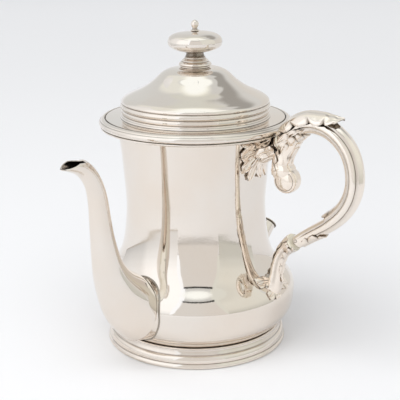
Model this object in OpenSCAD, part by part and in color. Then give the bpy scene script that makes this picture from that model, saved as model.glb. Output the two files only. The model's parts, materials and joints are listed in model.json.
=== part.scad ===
// Silver coffee pot of the jacketed (double-walled) kind: a waisted, round-bellied
// body on a stepped foot, a swan-neck spout, a scroll handle set square to it, a
// short filler at the back, and a lift-off domed lid with a mushroom knob.
// Millimetres. Origin on the ground at the centre of the foot.
// +X points along the spout, +Y along the handle, +Z up.

/* [Body] */
// Largest diameter of the belly
belly_d = 142; // [137:0.5:147]
// Diameter of the narrowest part of the neck
neck_d = 99; // [95:0.5:103]
// Height of the polished-out seam between belly and neck
seam_z = 66; // [64:1:72]
// Wall thickness of the raised body
wall = 0.9; // [0.7:0.1:1.4]
// Wall thickness of the inner liner
liner_wall = 0.8; // [0.6:0.1:1.2]
// Width of the water jacket between neck and liner
jacket_gap = 3.8; // [2.5:0.1:5]
// Height of the liner's floor above the ground
liner_floor_z = 26; // [22:1:34]

/* [Foot and rim] */
// Outer diameter of the foot ring
foot_d = 129.6; // [127:0.2:133]
// Outer diameter of the moulded rim
rim_d = 134.6; // [132:0.2:137]

/* [Spout] */
// Wall thickness of the spout
spout_wall = 0.9; // [0.7:0.1:1.4]
// Radius of the tube that carries coffee through the jacket
transfer_r = 7; // [5.5:0.5:8]
// Radius of each hole in the strainer
strainer_hole_r = 0.9; // [0.7:0.05:1.1]

/* [Filler] */
// Inner radius of the filler tube
filler_r = 5.9; // [5.2:0.1:6.6]
// Tilt of the filler above the horizontal, in degrees
filler_tilt = 42; // [38:1:46]

/* [Handle] */
// Half thickness of the grip, across the plane of its loop
grip_half_w = 7; // [6:0.1:7.4]
// Half thickness of the grip, in the plane of its loop
grip_half_t = 6.3; // [5.4:0.1:6.6]
// Radius of the upper heat-insulating washer
upper_washer_r = 6.5; // [6:0.1:6.6]
// Radius of the lower heat-insulating washer
lower_washer_r = 6.2; // [5.6:0.1:6.6]
// Thickness of each washer
washer_t = 1.8; // [1.4:0.1:2.2]
// Radius of the tenons inside the washers
tenon_r = 2.2; // [1.8:0.1:2.4]

/* [Lid] */
// Sheet thickness of the lid
lid_wall = 0.8; // [0.6:0.1:1.1]
// Depth of the lid's locating ring below the rim
bezel_depth = 9; // [6:1:14]
// Side clearance of the locating ring
bezel_gap = 0.5; // [0.4:0.1:0.8]
// Radius of the flat knob
knob_r = 18.85; // [17.25:0.1:20.05]

/* [Hidden] */
$fn = 96;
eps = 0.02;

belly_r = belly_d / 2;
neck_r = neck_d / 2;
foot_r = foot_d / 2;
rim_r = rim_d / 2;
shell_base_z = 13.8;
rim_z = 156;             // underside of the rim moulding
seat_z = 162.4;          // ledge that the lid stands on
seat_r = 62.9;           // side wall of the ledge
seat_gap = 0.3;          // gap under and around the lid's flange
flange_z = seat_z + seat_gap;
flange_t = 1;
flange_r = seat_r - 0.4;
liner_r = neck_r - wall - jacket_gap;
spout_z = 39;            // height of the transfer tube

// ---------- curves ----------
// Catmull-Rom blend of four points
function blend(a, b, c, d, t) =
    0.5 * ((2 * b) + (c - a) * t + (2 * a - 5 * b + 4 * c - d) * t * t
    + (3 * b - a - 3 * c + d) * t * t * t);
// smooth line through points P with n steps for each span
function smooth(P, n) = concat(
    [for (i = [0 : len(P) - 2], k = [0 : n - 1])
        blend(P[max(i - 1, 0)], P[i], P[i + 1], P[min(i + 2, len(P) - 1)], k / n)],
    [P[len(P) - 1]]);
// direction of a line at its point i
function along(P, i) = let (d = P[min(i + 1, len(P) - 1)] - P[max(i - 1, 0)]) d / norm(d);
// a planar line moved sideways by o, to its right
function beside(P, o) = [for (i = [0 : len(P) - 1]) let (t = along(P, i)) P[i] + o * [t[1], -t[0]]];
function reverse(P) = [for (i = [len(P) - 1 : -1 : 0]) P[i]];

// Outline of the body, [radius, height], from the turned-in bottom to the rim
body_line = smooth([
    [59.2, shell_base_z], [belly_r - 10.1, 15.2], [belly_r - 5.6, 20], [belly_r - 1.4, 27],
    [belly_r, 35], [belly_r - 0.2, 43.5], [belly_r - 4.9, 51], [(belly_r + neck_r) / 2 + 0.1, 57.5],
    [(belly_r + neck_r) / 2 - 3.9, 63], [neck_r + 3.8, 70], [neck_r + 2, 78], [neck_r + 0.7, 89],
    [neck_r, 101], [neck_r + 0.9, 117], [neck_r + 2.4, 136], [neck_r + 4.9, rim_z]], 4);
body_key = [for (p = body_line) [p[1], p[0]]];
// radius of the body at height z
function body_r(z) = lookup(z, body_key);

// the body as a solid, grown by g, used to trim the pieces soldered to it
module body_solid(g = 0) {
    rotate_extrude() polygon(concat([[0, shell_base_z]],
        [for (p = body_line) [p[0] + g, p[1]]], [[0, rim_z]]));
}

// ---------- swept pieces ----------
// sides of a section
function ring_faces(m, n, base, flip) = [for (i = [0 : m - 2], j = [0 : n - 1])
    let (a = base + i * n + j, b = base + i * n + (j + 1) % n, c = b + n, d = a + n)
    each (flip ? [[a, b, c], [a, c, d]] : [[a, c, b], [a, d, c]])];
// closed solid through equal rings of points
module loft(rings) {
    m = len(rings);
    n = len(rings[0]);
    polyhedron(points = [for (r = rings) each r],
        faces = concat(ring_faces(m, n, 0, false), [[for (j = [0 : n - 1]) j]],
            [[for (j = [n - 1 : -1 : 0]) (m - 1) * n + j]]), convexity = 8);
}
// closed tube between outer and inner rings
module loft_tube(outer, inner) {
    m = len(outer);
    n = len(outer[0]);
    q = m * n;
    polyhedron(points = concat([for (r = outer) each r], [for (r = inner) each r]),
        faces = concat(ring_faces(m, n, 0, false), ring_faces(m, n, q, true),
            [for (j = [0 : n - 1]) let (k = (j + 1) % n) each [[j, k, q + k], [j, q + k, q + j]]],
            [for (j = [0 : n - 1]) let (k = (j + 1) % n, e = (m - 1) * n)
                each [[e + j, q + e + k, e + k], [e + j, q + e + j, q + e + k]]]), convexity = 8);
}
// point of the handle's plane: v = [out, up], s = sideways
function hp(v, s) = [s, v[0], v[1]];
// section across line P at point i: half thickness t, half width w, n sides
function section(P, i, t, w, n) = let (d = along(P, i), u = [-d[1], d[0]])
    [for (j = [0 : n - 1]) let (a = 360 * j / n) hp(P[i] + u * t * cos(a), -w * sin(a))];

// ---------- body ----------
module whole_shell() {
    rotate_extrude() polygon(concat([[50, shell_base_z]], body_line,
        reverse(beside(body_line, -wall)), [[50, shell_base_z + wall]]));
}
// round belly, up to the seam
module belly_shell() {
    color([0.86, 0.84, 0.81]) difference() {
        whole_shell();
        translate([-100, -100, seam_z]) cube([200, 200, 100]);
        translate([0, 0, spout_z]) rotate([0, 90, 0]) cylinder(h = 100, r = transfer_r + 0.9 + eps);
        filler_place() translate([0, 0, -9]) cylinder(h = 40, r = filler_r - 0.6);
    }
}
// waisted neck, from the seam to the rim
module neck_shell() {
    color([0.86, 0.84, 0.81]) difference() {
        whole_shell();
        translate([-100, -100, seam_z - 100 + eps]) cube([200, 200, 100]);
    }
}

module bottom_plate() {
    color([0.80, 0.78, 0.75]) translate([0, 0, shell_base_z]) cylinder(h = 1.1, r = 50 - eps);
}

// hollow stepped foot: a wide band on the ground, a hollow above it, a bead under the belly
module foot_ring() {
    line = smooth([[foot_r - 1.2, 0], [foot_r - 0.3, 0.3], [foot_r, 1.1], [foot_r - 0.2, 2.2],
        [foot_r - 0.9, 3.2], [foot_r - 1.1, 3.6], [foot_r - 0.8, 4.4], [foot_r - 1, 6],
        [foot_r - 1.6, 7.6], [foot_r - 2.6, 8.9], [foot_r - 3.4, 9.5], [foot_r - 4.1, 10.7],
        [foot_r - 4.5, 12], [foot_r - 4.3, 12.9], [foot_r - 4.5, 13.4], [foot_r - 5.6, shell_base_z - eps]], 2);
    color([0.85, 0.83, 0.80]) rotate_extrude() polygon(concat(line,
        [[foot_r - 10, shell_base_z - eps], [foot_r - 7.4, 12.6], [foot_r - 6.2, 10.4],
        [foot_r - 4.4, 8.4], [foot_r - 3, 6.6], [foot_r - 2.6, 4], [foot_r - 2.2, 1.8],
        [foot_r - 2.8, 0]]));
}

// two-step moulded rim, a hollow ring open towards the seat inside it
rim_line = smooth([[rim_r - 1.5, rim_z + 0.5], [rim_r - 1, rim_z + 1.2], [rim_r - 1.4, rim_z + 2.1],
    [rim_r - 0.7, rim_z + 2.7], [rim_r, rim_z + 3.8], [rim_r - 0.2, rim_z + 5.3],
    [rim_r - 0.9, rim_z + 6.5], [rim_r - 2, rim_z + 7.3], [rim_r - 3.4, rim_z + 7.6],
    [seat_r, rim_z + 7.3]], 3);
module rim_moulding() {
    color([0.88, 0.86, 0.83]) rotate_extrude() polygon(concat(
        [[neck_r + 5.4, rim_z + 0.15], [rim_r - 2.1, rim_z + 0.15]], rim_line,
        [[seat_r, seat_z], [seat_r, seat_z - 1.1], [seat_r + 1.4, seat_z - 1.4], [rim_r - 2, rim_z + 4.6],
        [rim_r - 3.2, rim_z + 1.7], [rim_r - 5, rim_z + 1.2], [neck_r + 5.4, rim_z + 1.2]]));
}
// ledge for the lid, with the sleeve that joins body, rim and liner
module rim_seat() {
    i = neck_r + 3.4;
    color([0.82, 0.80, 0.77]) rotate_extrude() polygon([[i, rim_z + 0.15], [i + 1.9, rim_z + 0.15],
        [i + 1.9, seat_z - 1.6], [i + 2.4, seat_z - 1.1], [seat_r - eps, seat_z - 1.1],
        [seat_r - eps, seat_z], [i, seat_z]]);
}

// inner vessel, hung from the rim by its flange
module inner_liner() {
    r = liner_r;
    f = liner_floor_z;
    w = liner_wall;
    turn = [for (a = [0 : 9 : 90]) [r - 14 + 14 * sin(a), f + 14 - 14 * cos(a)]];
    turn_in = [for (a = [90 : -9 : 0]) [r - 14 + (14 - w) * sin(a), f + 14 - (14 - w) * cos(a)]];
    color([0.78, 0.76, 0.72]) difference() {
        rotate_extrude() polygon(concat([[0, f]], turn, [[r, seat_z - 2.1], [neck_r + 3.38, seat_z - 2.1],
            [neck_r + 3.38, seat_z - 1.2], [r - w, seat_z - 1.2]], turn_in, [[0, f + w]]));
        translate([0, 0, spout_z]) rotate([0, 90, 0]) cylinder(h = 100, r = transfer_r - 1);
    }
}

// pipe from the liner to the spout, through the water jacket
module transfer_tube() {
    out = sqrt(pow(body_r(spout_z), 2)) + 3;
    color([0.76, 0.74, 0.70]) difference() {
        translate([0, 0, spout_z]) rotate([0, 90, 0]) difference() {
            cylinder(h = out, r = transfer_r + 0.9);
            translate([0, 0, -1]) cylinder(h = out + 2, r = transfer_r);
        }
        cylinder(h = 120, r = liner_r + eps);
    }
}

// pierced disc in the pipe's mouth
module strainer_plate() {
    color([0.72, 0.70, 0.66]) translate([liner_r + 3, 0, spout_z]) rotate([0, 90, 0]) difference() {
        cylinder(h = 0.8, r = transfer_r - eps);
        translate([0, 0, -1]) cylinder(h = 3, r = strainer_hole_r);
        for (a = [0 : 60 : 300]) rotate(a + 30) translate([transfer_r * 0.36, 0, -1])
            cylinder(h = 3, r = strainer_hole_r, $fn = 24);
        for (a = [0 : 30 : 330]) rotate(a) translate([transfer_r * 0.7, 0, -1])
            cylinder(h = 3, r = strainer_hole_r, $fn = 24);
    }
}

// ---------- spout ----------
// stations of the swan neck in the plane of the spout:
// upper edge [x, z], lower edge [x, z], half width
spout_upper = smooth([[64, 62.5], [67.5, 66.5], [73.5, 70.5], [79, 74.5], [83.5, 79.5],
    [87.2, 86], [90, 94], [92.6, 104], [94.4, 114], [96, 124], [98, 132.5], [101, 140],
    [105, 146.5], [110, 152], [117, 156.5], [126, 159]], 2);
spout_lower = smooth([[77.5, 21.5], [88, 32.5], [96, 46], [101, 59], [104.2, 69.5],
    [106, 80], [107, 90.5], [107.8, 101.5], [108.4, 112], [109, 122], [110, 130], [111.6, 135.5],
    [114.4, 140.5], [118.5, 145], [124, 148.5], [133, 152]], 2);
spout_half = smooth([[19.4, 0], [18, 0], [15.8, 0], [13.4, 0], [11.5, 0], [9.9, 0], [8.8, 0],
    [7.8, 0], [7.1, 0], [6.6, 0], [6.3, 0], [6.1, 0], [6.1, 0], [6.3, 0], [6.5, 0], [5, 0]], 2);
spout_n = 24;
root_top = 61;           // top and bottom of the joint on the belly
root_bottom = 17.5;
root_half = 20;
// point of the joint between spout and belly at angle a, grown sideways by g, lifted by h
function root_point(a, g, h) = let (
    z = (root_top + root_bottom) / 2 + ((root_top - root_bottom) / 2 + g) * cos(a),
    y = (root_half + g) * sin(a)) [sqrt(pow(body_r(z) + h, 2) - y * y), y, z];
// ring i of the spout, made smaller by w
function spout_ring(i, w) = let (c = (spout_upper[i] + spout_lower[i]) / 2,
    h = (spout_upper[i] - spout_lower[i]) / 2, k = 1 - w / norm(h))
    [for (j = [0 : spout_n - 1]) let (a = 360 * j / spout_n, p = c + h * k * cos(a))
        [p[0], (spout_half[i][0] - w) * sin(a), p[1]]];
module spout_tube() {
    loft_tube(
        concat([[for (j = [0 : spout_n - 1]) root_point(360 * j / spout_n, 0, 0.3)]],
            [for (i = [0 : len(spout_upper) - 1]) spout_ring(i, 0)]),
        concat([[for (j = [0 : spout_n - 1]) root_point(360 * j / spout_n, -1.6, 0.3)]],
            [for (i = [0 : len(spout_upper) - 1]) spout_ring(i, spout_wall)]));
}
// the mouth is cut level along the top of the bend, dipping a little to the lip
module spout_body() {
    color([0.87, 0.84, 0.80]) difference() {
        spout_tube();
        translate([104, -15, 155]) rotate([0, 4, 0]) cube([45, 30, 12]);
    }
}

// solder bead around the spout's root
module spout_root_bead() {
    n = 32;
    rings = [for (j = [0 : n - 1]) let (a = 360 * j / n, p = root_point(a, 0.1, 0),
        out = [p[0], p[1], 0] / norm([p[0], p[1]]), side = [0, sin(a), cos(a)])
        [for (k = [0 : 5]) let (b = 60 * k)
            p + out * (0.75 + 0.6 * sin(b)) + side * (0.8 + 0.6 * cos(b))]];
    color([0.83, 0.80, 0.76]) polyhedron(points = [for (r = rings) each r],
        faces = [for (i = [0 : n - 1], j = [0 : 5]) let (i2 = (i + 1) % n, j2 = (j + 1) % 6)
            each [[i * 6 + j, i2 * 6 + j2, i2 * 6 + j], [i * 6 + j, i * 6 + j2, i2 * 6 + j2]]],
        convexity = 6);
}

// ---------- filler ----------
filler_len = 39.4;
module filler_place() {
    translate([-65.5, 0, 35.2]) rotate([0, filler_tilt - 90, 0]) children();
}
// radius of the tube's outside at distance t along it
function filler_out(t) = filler_r + lookup(t, [[-8, 2.4], [6, 1.9], [16, 1.4], [25, 1.1], [37, 1.1]]);
// straight tube, hardly tapered; its mouth is square to its axis and has a small rolled edge
module filler_spout() {
    o = concat([for (t = [-8, 0, 6, 11, 16, 20, 25, 31, 37]) [filler_out(t), t]],
        [[filler_r + 1.4, 37.6], [filler_r + 1.95, 38.2], [filler_r + 1.95, 38.9], [filler_r + 1.4, filler_len]]);
    color([0.86, 0.83, 0.80]) difference() {
        filler_place() rotate_extrude() polygon(concat(o, [[filler_r + 0.5, filler_len], [filler_r, filler_len - 0.9],
            [filler_r, 25], [filler_r + 0.3, 16], [filler_r + 0.8, 6], [filler_r + 1.2, -8]]));
        body_solid(0.05);
    }
}
// a point of the filler's outside: angle a round it, distance t along it
function filler_point(a, t) = let (r = filler_out(t) + 0.3, u = r * cos(a), w = filler_tilt)
    [-65.5 - t * cos(w) + u * sin(w), r * sin(a), 35.2 + t * sin(w) + u * cos(w)];
// distance along the tube at which its side leaves the belly, found by halving
function leaves_at(a, lo, hi, n) = let (m = (lo + hi) / 2, p = filler_point(a, m))
    n == 0 ? m : norm([p[0], p[1]]) < body_r(p[2]) + 0.2 ? leaves_at(a, m, hi, n - 1) : leaves_at(a, lo, m, n - 1);
// solder bead along the line where the filler meets the belly
module filler_root_bead() {
    n = 28;
    rings = [for (j = [0 : n - 1]) let (a = 360 * j / n, p = filler_point(a, leaves_at(a, -8, 24, 16)),
        out = [p[0], p[1], 0] / norm([p[0], p[1]]),
        side = [sin(filler_tilt) * cos(a), sin(a), cos(filler_tilt) * cos(a)])
        [for (k = [0 : 5]) let (b = 60 * k) p + out * (0.6 + 0.5 * sin(b)) + side * (0.75 + 0.55 * cos(b))]];
    color([0.83, 0.80, 0.76]) difference() {
        polyhedron(points = [for (r = rings) each r],
            faces = [for (i = [0 : n - 1], j = [0 : 5]) let (i2 = (i + 1) % n, j2 = (j + 1) % 6)
                each [[i * 6 + j, i2 * 6 + j2, i2 * 6 + j], [i * 6 + j, i * 6 + j2, i2 * 6 + j2]]],
            convexity = 6);
        body_solid(0.05);
    }
}

// ---------- handle ----------
// middle line of the grip, [out, up], from the upper washer round to the lower one
grip_line = smooth([[72.6, 153.6], [76.5, 158.2], [81.5, 162.8], [87.5, 166.6], [94, 168.6],
    [101, 168.4], [107.5, 166.4], [113, 163.2], [117.8, 159], [121.6, 154], [124.3, 148],
    [125.9, 141], [126.1, 133.5], [124.6, 126], [121.4, 119], [116.5, 112.5], [110, 106.5],
    [102.5, 101], [94, 95.3], [85.5, 89]], 2);
upper_at = [71.6, 153.2];
upper_dir = 28;          // direction of the upper joint above the horizontal
lower_at = [82, 86.4];
lower_dir = 34;
module at_upper() { translate([0, upper_at[0], upper_at[1]]) rotate([upper_dir - 90, 0, 0]) children(); }
module at_lower() { translate([0, lower_at[0], lower_at[1]]) rotate([lower_dir - 90, 0, 0]) children(); }

// the grip thins a little towards both ends
function grip_k(i) = i < 5 ? 0.9 + 0.02 * i : i > 30 ? 0.86 + 0.0175 * (38 - i) : 1;
// grip section: rounded, flatter inside, with a groove along each side
function grip_section(i) = let (P = grip_line, d = along(P, i), u = [-d[1], d[0]], k = grip_k(i))
    [for (j = [0 : 19]) let (a = 18 * j, g = (j == 5 || j == 15) ? 0.84 : (j == 4 || j == 6 || j == 14 || j == 16) ? 0.98 : 1,
        t = cos(a) * (cos(a) > 0 ? 1.08 : 0.92))
        hp(P[i] + u * grip_half_t * k * t, -grip_half_w * k * g * sin(a))];
module grip_solid() { loft([for (i = [0 : len(grip_line) - 1]) grip_section(i)]); }
module handle_grip() {
    color([0.86, 0.83, 0.79]) difference() {
        grip_solid();
        at_upper() translate([0, 0, -3]) cylinder(h = washer_t / 2 + 3 + eps, r = 14);
        at_lower() translate([0, 0, -3]) cylinder(h = washer_t / 2 + 3 + eps, r = 14);
        at_upper() cylinder(h = 5.6, r = tenon_r);
        at_lower() cylinder(h = 9, r = tenon_r);
        at_scroll() translate([0, 0, -12]) cylinder(h = 12, r = 9);
        at_upper() translate([0, 0, 3.6]) rotate([0, 90, 0]) cylinder(h = 20, r = 0.9, center = true);
        at_lower() translate([0, 0, 6]) rotate([0, 90, 0]) cylinder(h = 20, r = 0.9, center = true);
    }
}

module washer(r) {
    color([0.93, 0.90, 0.80]) difference() {
        union() {
            cylinder(h = washer_t - 0.8, r = r, center = true);
            cylinder(h = washer_t - 2 * eps, r = r - 0.5, center = true);
        }
        cylinder(h = 5, r = tenon_r + 0.05, center = true);
    }
}
module upper_washer() { at_upper() washer(upper_washer_r); }
module lower_washer() { at_lower() washer(lower_washer_r); }

module tenon(len, pin_z) {
    color([0.74, 0.72, 0.68]) difference() {
        translate([0, 0, -8]) cylinder(h = 8 + len, r = tenon_r - eps);
        translate([0, 0, pin_z]) rotate([0, 90, 0]) cylinder(h = 20, r = 0.9, center = true);
    }
}
module upper_tenon() { at_upper() tenon(5.5, 3.6); }
module lower_tenon() { at_lower() tenon(8.5, 6); }
module pin(len) { color([0.9, 0.87, 0.83]) rotate([0, 90, 0]) cylinder(h = len, r = 0.88, center = true); }
module upper_pin() { at_upper() translate([0, 0, 3.6]) pin(2 * grip_half_w - 1.6); }
module lower_pin() { at_lower() translate([0, 0, 6]) pin(2 * grip_half_w - 1.8); }

// boss under the rim that carries the upper washer
module upper_socket() {
    color([0.80, 0.77, 0.73]) difference() {
        at_upper() difference() {
            rotate_extrude() polygon([[0, -22], [7.4, -22], [6.9, -16], [5.8, -10], [5.2, -6],
                [5.4, -3.4], [upper_washer_r - 0.6, -2], [upper_washer_r - 0.4, -washer_t / 2], [0, -washer_t / 2]]);
            translate([0, 0, -8 - eps]) cylinder(h = 20, r = tenon_r);
        }
        body_solid(0.05);
        translate([0, 0, rim_z - 0.1]) cylinder(h = 20, r = rim_r + 0.3);
    }
}

// leaves laid on the body, seen square on: [sideways, up] outlines
module wrapped(g0, g1) {
    intersection() {
        translate([0, 30, 0]) rotate([90, 0, 180]) linear_extrude(height = 60) children();
        rotate_extrude() difference() {
            polygon(concat([[0, shell_base_z]], [for (p = body_line) [p[0] + g1, p[1]]], [[0, rim_z - 0.1]]));
            polygon(concat([[0, shell_base_z - 1]], [for (p = body_line) [p[0] + g0, p[1]]], [[0, rim_z + 1]]));
        }
    }
}
// pointed leaf of length l and half width w, growing along +Y
module leaf_shape(l, w) {
    n = 10;
    side = [for (i = [0 : n]) let (t = i / n) [w * (sin(180 * pow(t, 0.8)) * 0.9 + 0.16 * (1 - t)) * (1 - 0.12 * (i % 2)), l * t]];
    polygon(concat(side, [for (i = [n - 1 : -1 : 0]) [-side[i][0], side[i][1]]]));
}
module upper_root_leaf() {
    color([0.82, 0.79, 0.76]) difference() {
        wrapped(0.06, 2.4) translate([0, 147]) {
            circle(r = 9);
            for (a = [-94, -58, -24, 24, 58, 94]) rotate(a + 180) leaf_shape(19, 6);
            rotate(180) leaf_shape(23, 6);
        }
        at_upper() translate([0, 0, -30]) cylinder(h = 60, r = 7.6);
    }
}
module lower_root_leaf() {
    color([0.82, 0.79, 0.76]) difference() {
        wrapped(0.06, 2.2) translate([0, 52]) {
            circle(r = 6);
            for (a = [-80, 80, -38, 38]) rotate(a + 180) leaf_shape(15, 4);
            rotate(180) leaf_shape(10, 4);
        }
        translate([0, 0, 49.5]) rotate([-90, 0, 0]) cylinder(h = 100, r = 7.4);
        translate([0, 0, 56]) rotate([-90, 0, 0]) cylinder(h = 100, r = 6.6);
    }
}

// stem from the belly up to the lower washer
socket_line = smooth([[63, 44], [66.2, 50], [68.2, 56.5], [69.2, 63], [70.3, 69.5], [72.6, 76],
    [76, 81.2], [80.6, 85.4], [84, 87.7]], 2);
socket_half = smooth([[6.4, 0], [5.8, 0], [5, 0], [4.4, 0], [4.1, 0], [4.1, 0], [4.4, 0],
    [5, 0], [5.2, 0]], 2);
module lower_socket_solid(g = 0) {
    loft([for (i = [0 : len(socket_line) - 1])
        section(socket_line, i, socket_half[i][0] + g, socket_half[i][0] * 1.15 + g, 16)]);
}
module lower_socket() {
    color([0.84, 0.80, 0.76]) difference() {
        lower_socket_solid();
        body_solid(0.05);
        at_lower() translate([0, 0, -washer_t / 2]) cylinder(h = 20, r = 14);
        at_lower() translate([0, 0, -8 - eps]) cylinder(h = 20, r = tenon_r);
    }
}
// leaf that hugs a swept piece from its ring f on: turned by side, half angles A,
// lifted off by L, with its thickness th and its bedding gap g
module hug_leaf(P, T, W, f, side, A, L, th, g = 0.22) {
    loft([for (i = [0 : len(A) - 1]) let (p = P[f + i], d = along(P, f + i), u = [-d[1], d[0]],
        t = T[f + i] + g + L[i], w = W[f + i] + g + L[i] * 0.5)
        concat([for (q = [-1 : 0.25 : 1]) let (a = side + q * A[i]) hp(p + u * t * cos(a), -w * sin(a))],
            [for (q = [1 : -0.25 : -1]) let (a = side + q * A[i])
                hp(p + u * (t + th) * cos(a), -(w + th) * sin(a))])]);
}
module lower_socket_leaf() {
    color([0.85, 0.82, 0.78]) hug_leaf(socket_line, [for (h = socket_half) h[0]],
        [for (h = socket_half) h[0] * 1.15], 5, 0, [for (i = [0 : 8]) 16 + 62 * sin(20 * i) + (i % 2) * 9],
        [for (i = [0 : 8]) 0], 1.2);
}

// inward scroll under the upper joint, ending in a round volute
scroll_line = smooth([[80.4, 157.6], [76.8, 151.5], [73.6, 145.5], [71.6, 139.5], [71, 133.5]], 3);
scroll_k = [for (i = [0 : len(scroll_line) - 1]) 1 + 0.03 * max(0, 6 - i)];
volute_at = [76.4, 129];
volute_r = 8.8;
module volute_solid() {
    translate([0, volute_at[0], volute_at[1]]) rotate([0, 90, 0]) rotate_extrude()
        polygon([[0, -5.4], [2, -6.4], [4.4, -6.6], [6.6, -5.9], [8, -4.4], [volute_r, -2], [volute_r, 2],
            [8, 4.4], [6.6, 5.9], [4.4, 6.6], [2, 6.4], [0, 5.4]]);
}
module scroll_volute() { color([0.86, 0.82, 0.78]) volute_solid(); }
module scroll_solid() {
    loft([for (i = [0 : len(scroll_line) - 1]) section(scroll_line, i, 5.2 * scroll_k[i], 5.8 * scroll_k[i], 16)]);
}
// flat seat of the scroll on the underside of the grip
module at_scroll() { translate([0, 79.6, 155.4]) rotate([45, 0, 0]) children(); }
module handle_scroll() {
    color([0.86, 0.82, 0.78]) difference() {
        scroll_solid();
        at_scroll() translate([-15, -15, -eps]) cube([30, 30, 20]);
        at_upper() translate([0, 0, -30]) cylinder(h = 30 + washer_t / 2 + 0.1, r = 12);
        translate([0, volute_at[0], volute_at[1]]) rotate([0, 90, 0]) cylinder(h = 30, r = volute_r + eps, center = true);
    }
}
// leaf over the outside of the scroll
module scroll_leaf() {
    color([0.84, 0.81, 0.77]) difference() {
        hug_leaf(scroll_line, [for (k = scroll_k) 5.2 * k], [for (k = scroll_k) 5.8 * k],
            6, 180, [for (i = [0 : 6]) 16 + 76 * sin(24 * i + 14) + (i % 2) * 10], [for (i = [0 : 6]) 0], 1.2, 0.36);
        translate([0, volute_at[0], volute_at[1]]) rotate([0, 90, 0]) cylinder(h = 30, r = volute_r + 0.1, center = true);
        at_upper() translate([0, 0, -30]) cylinder(h = 31, r = 8.2);
    }
}

// acanthus leaf over the top of the grip, its tip standing clear
module grip_top_leaf() {
    lift = [0.4, 0.3, 0.2, 0.1, 0, 0, 0, 0.2, 0.6, 1.4, 2.8, 5];
    color([0.87, 0.84, 0.80]) hug_leaf(grip_line, [for (i = [0 : 40]) grip_half_t * 1.08 * grip_k(i)],
        [for (i = [0 : 40]) grip_half_w * grip_k(i)], 2, 0,
        [for (i = [0 : 11]) 20 + 64 * sin(14.5 * i + 12) + (i % 2) * 9], lift, 1.6);
}
// small leaf under the lower end of the grip, its tip turned out
module grip_tail_leaf() {
    color([0.84, 0.81, 0.77]) hug_leaf(grip_line, [for (i = [0 : 40]) grip_half_t * 1.08 * grip_k(i)],
        [for (i = [0 : 40]) grip_half_w * grip_k(i)], 33, 0,
        [for (i = [0 : 4]) 14 + 50 * sin(36 * i) + (i % 2) * 8 + 5 * i], [2.4, 0.6, 0, 0, 0], 1.3);
}

// ---------- lid ----------
// moulded drum of the lid, then its dome
drum_line = smooth([[52.2, flange_z + flange_t + 0.15], [51.7, 164.8], [51.3, 165.8], [50.9, 166.4],
    [51.4, 167.2], [51.5, 168.6], [51, 169.8], [51.9, 170.8], [52.2, 171.8], [51.8, 173], [51, 173.8]], 2);
dome_line = smooth([[51.4, 174.4], [50.4, 176.4], [48.1, 178.1], [44.9, 179.7], [41.8, 181.1], [38.1, 182.8],
    [34.1, 185.1], [30.3, 187.8], [27.1, 190.6], [24.6, 193], [21.9, 195], [17.5, 196.9], [12, 197.6],
    [2.2, 197.8]], 3);
module lid_cover() {
    color([0.88, 0.86, 0.82]) rotate_extrude() polygon(concat(drum_line, dome_line,
        reverse(beside(dome_line, -lid_wall)), [[51 - lid_wall, 173.6], [50.8 - lid_wall, 166],
        [51.7 - lid_wall, 164.4], [52.2 - lid_wall, flange_z + flange_t + 0.15]]));
}
module lid_flange() {
    color([0.87, 0.85, 0.82]) rotate_extrude() polygon([[liner_r - liner_wall - bezel_gap - 0.9, flange_z],
        [flange_r, flange_z], [flange_r, flange_z + 0.7], [flange_r - 0.3, flange_z + flange_t],
        [liner_r - liner_wall - bezel_gap - 0.9, flange_z + flange_t]]);
}
// locating ring that drops inside the liner
module lid_bezel() {
    r = liner_r - liner_wall - bezel_gap;
    color([0.80, 0.78, 0.74]) rotate_extrude() polygon([[r, flange_z - eps], [r, flange_z - bezel_depth + 1],
        [r - 0.6, flange_z - bezel_depth], [r - 0.9, flange_z - bezel_depth], [r - 0.9, flange_z - eps]]);
}
// stepped seat of the knob
module knob_collar() {
    line = smooth([[10.4, 197.95], [10.6, 198.4], [10.1, 198.9], [11.3, 199.3], [11.5, 199.8], [10.9, 200.6],
        [9.9, 201.5], [9.2, 201.9], [9.2, 202.5], [8.3, 203.2], [7.3, 203.9], [7.2, 204.5],
        [6.4, 205.4], [6, 206.4], [6, 207.2], [6.4, 207.9]], 2);
    color([0.86, 0.83, 0.79]) difference() {
        rotate_extrude() polygon(concat([[0, 197.9]], line, [[0, 207.9]]));
        translate([0, 0, 190]) cylinder(h = 30, r = 1.52);
    }
}
// hollow knob raised in two halves, joined at its widest line
knob_low = smooth([[6.3, 208], [9.5, 208.4], [13.2, 209.3], [knob_r - 2.4, 210.9], [knob_r - 0.6, 212.7], [knob_r, 215.1]], 3);
knob_high = smooth([[knob_r, 215.14], [knob_r - 0.2, 216.4], [knob_r - 1, 218.1], [knob_r - 2.8, 219.6],
    [13, 220.9], [9, 221.6], [5, 222], [1.54, 222.1]], 3);
module knob_lower() {
    color([0.87, 0.84, 0.79]) rotate_extrude() polygon(concat([[1.54, 208]], knob_low,
        [[knob_r - 0.9, 215.1], [knob_r - 1.5, 213], [knob_r - 3.1, 211.6], [12.8, 210.3], [9.2, 209.4], [1.54, 209]]));
}
module knob_upper() {
    color([0.87, 0.84, 0.79]) rotate_extrude() polygon(concat(knob_high,
        [[1.54, 221.1], [5, 221], [8.8, 220.7], [12.6, 220], [knob_r - 3.3, 218.8], [knob_r - 1.8, 217.5],
        [knob_r - 1.1, 216.2], [knob_r - 0.9, 215.14]]));
}
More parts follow.
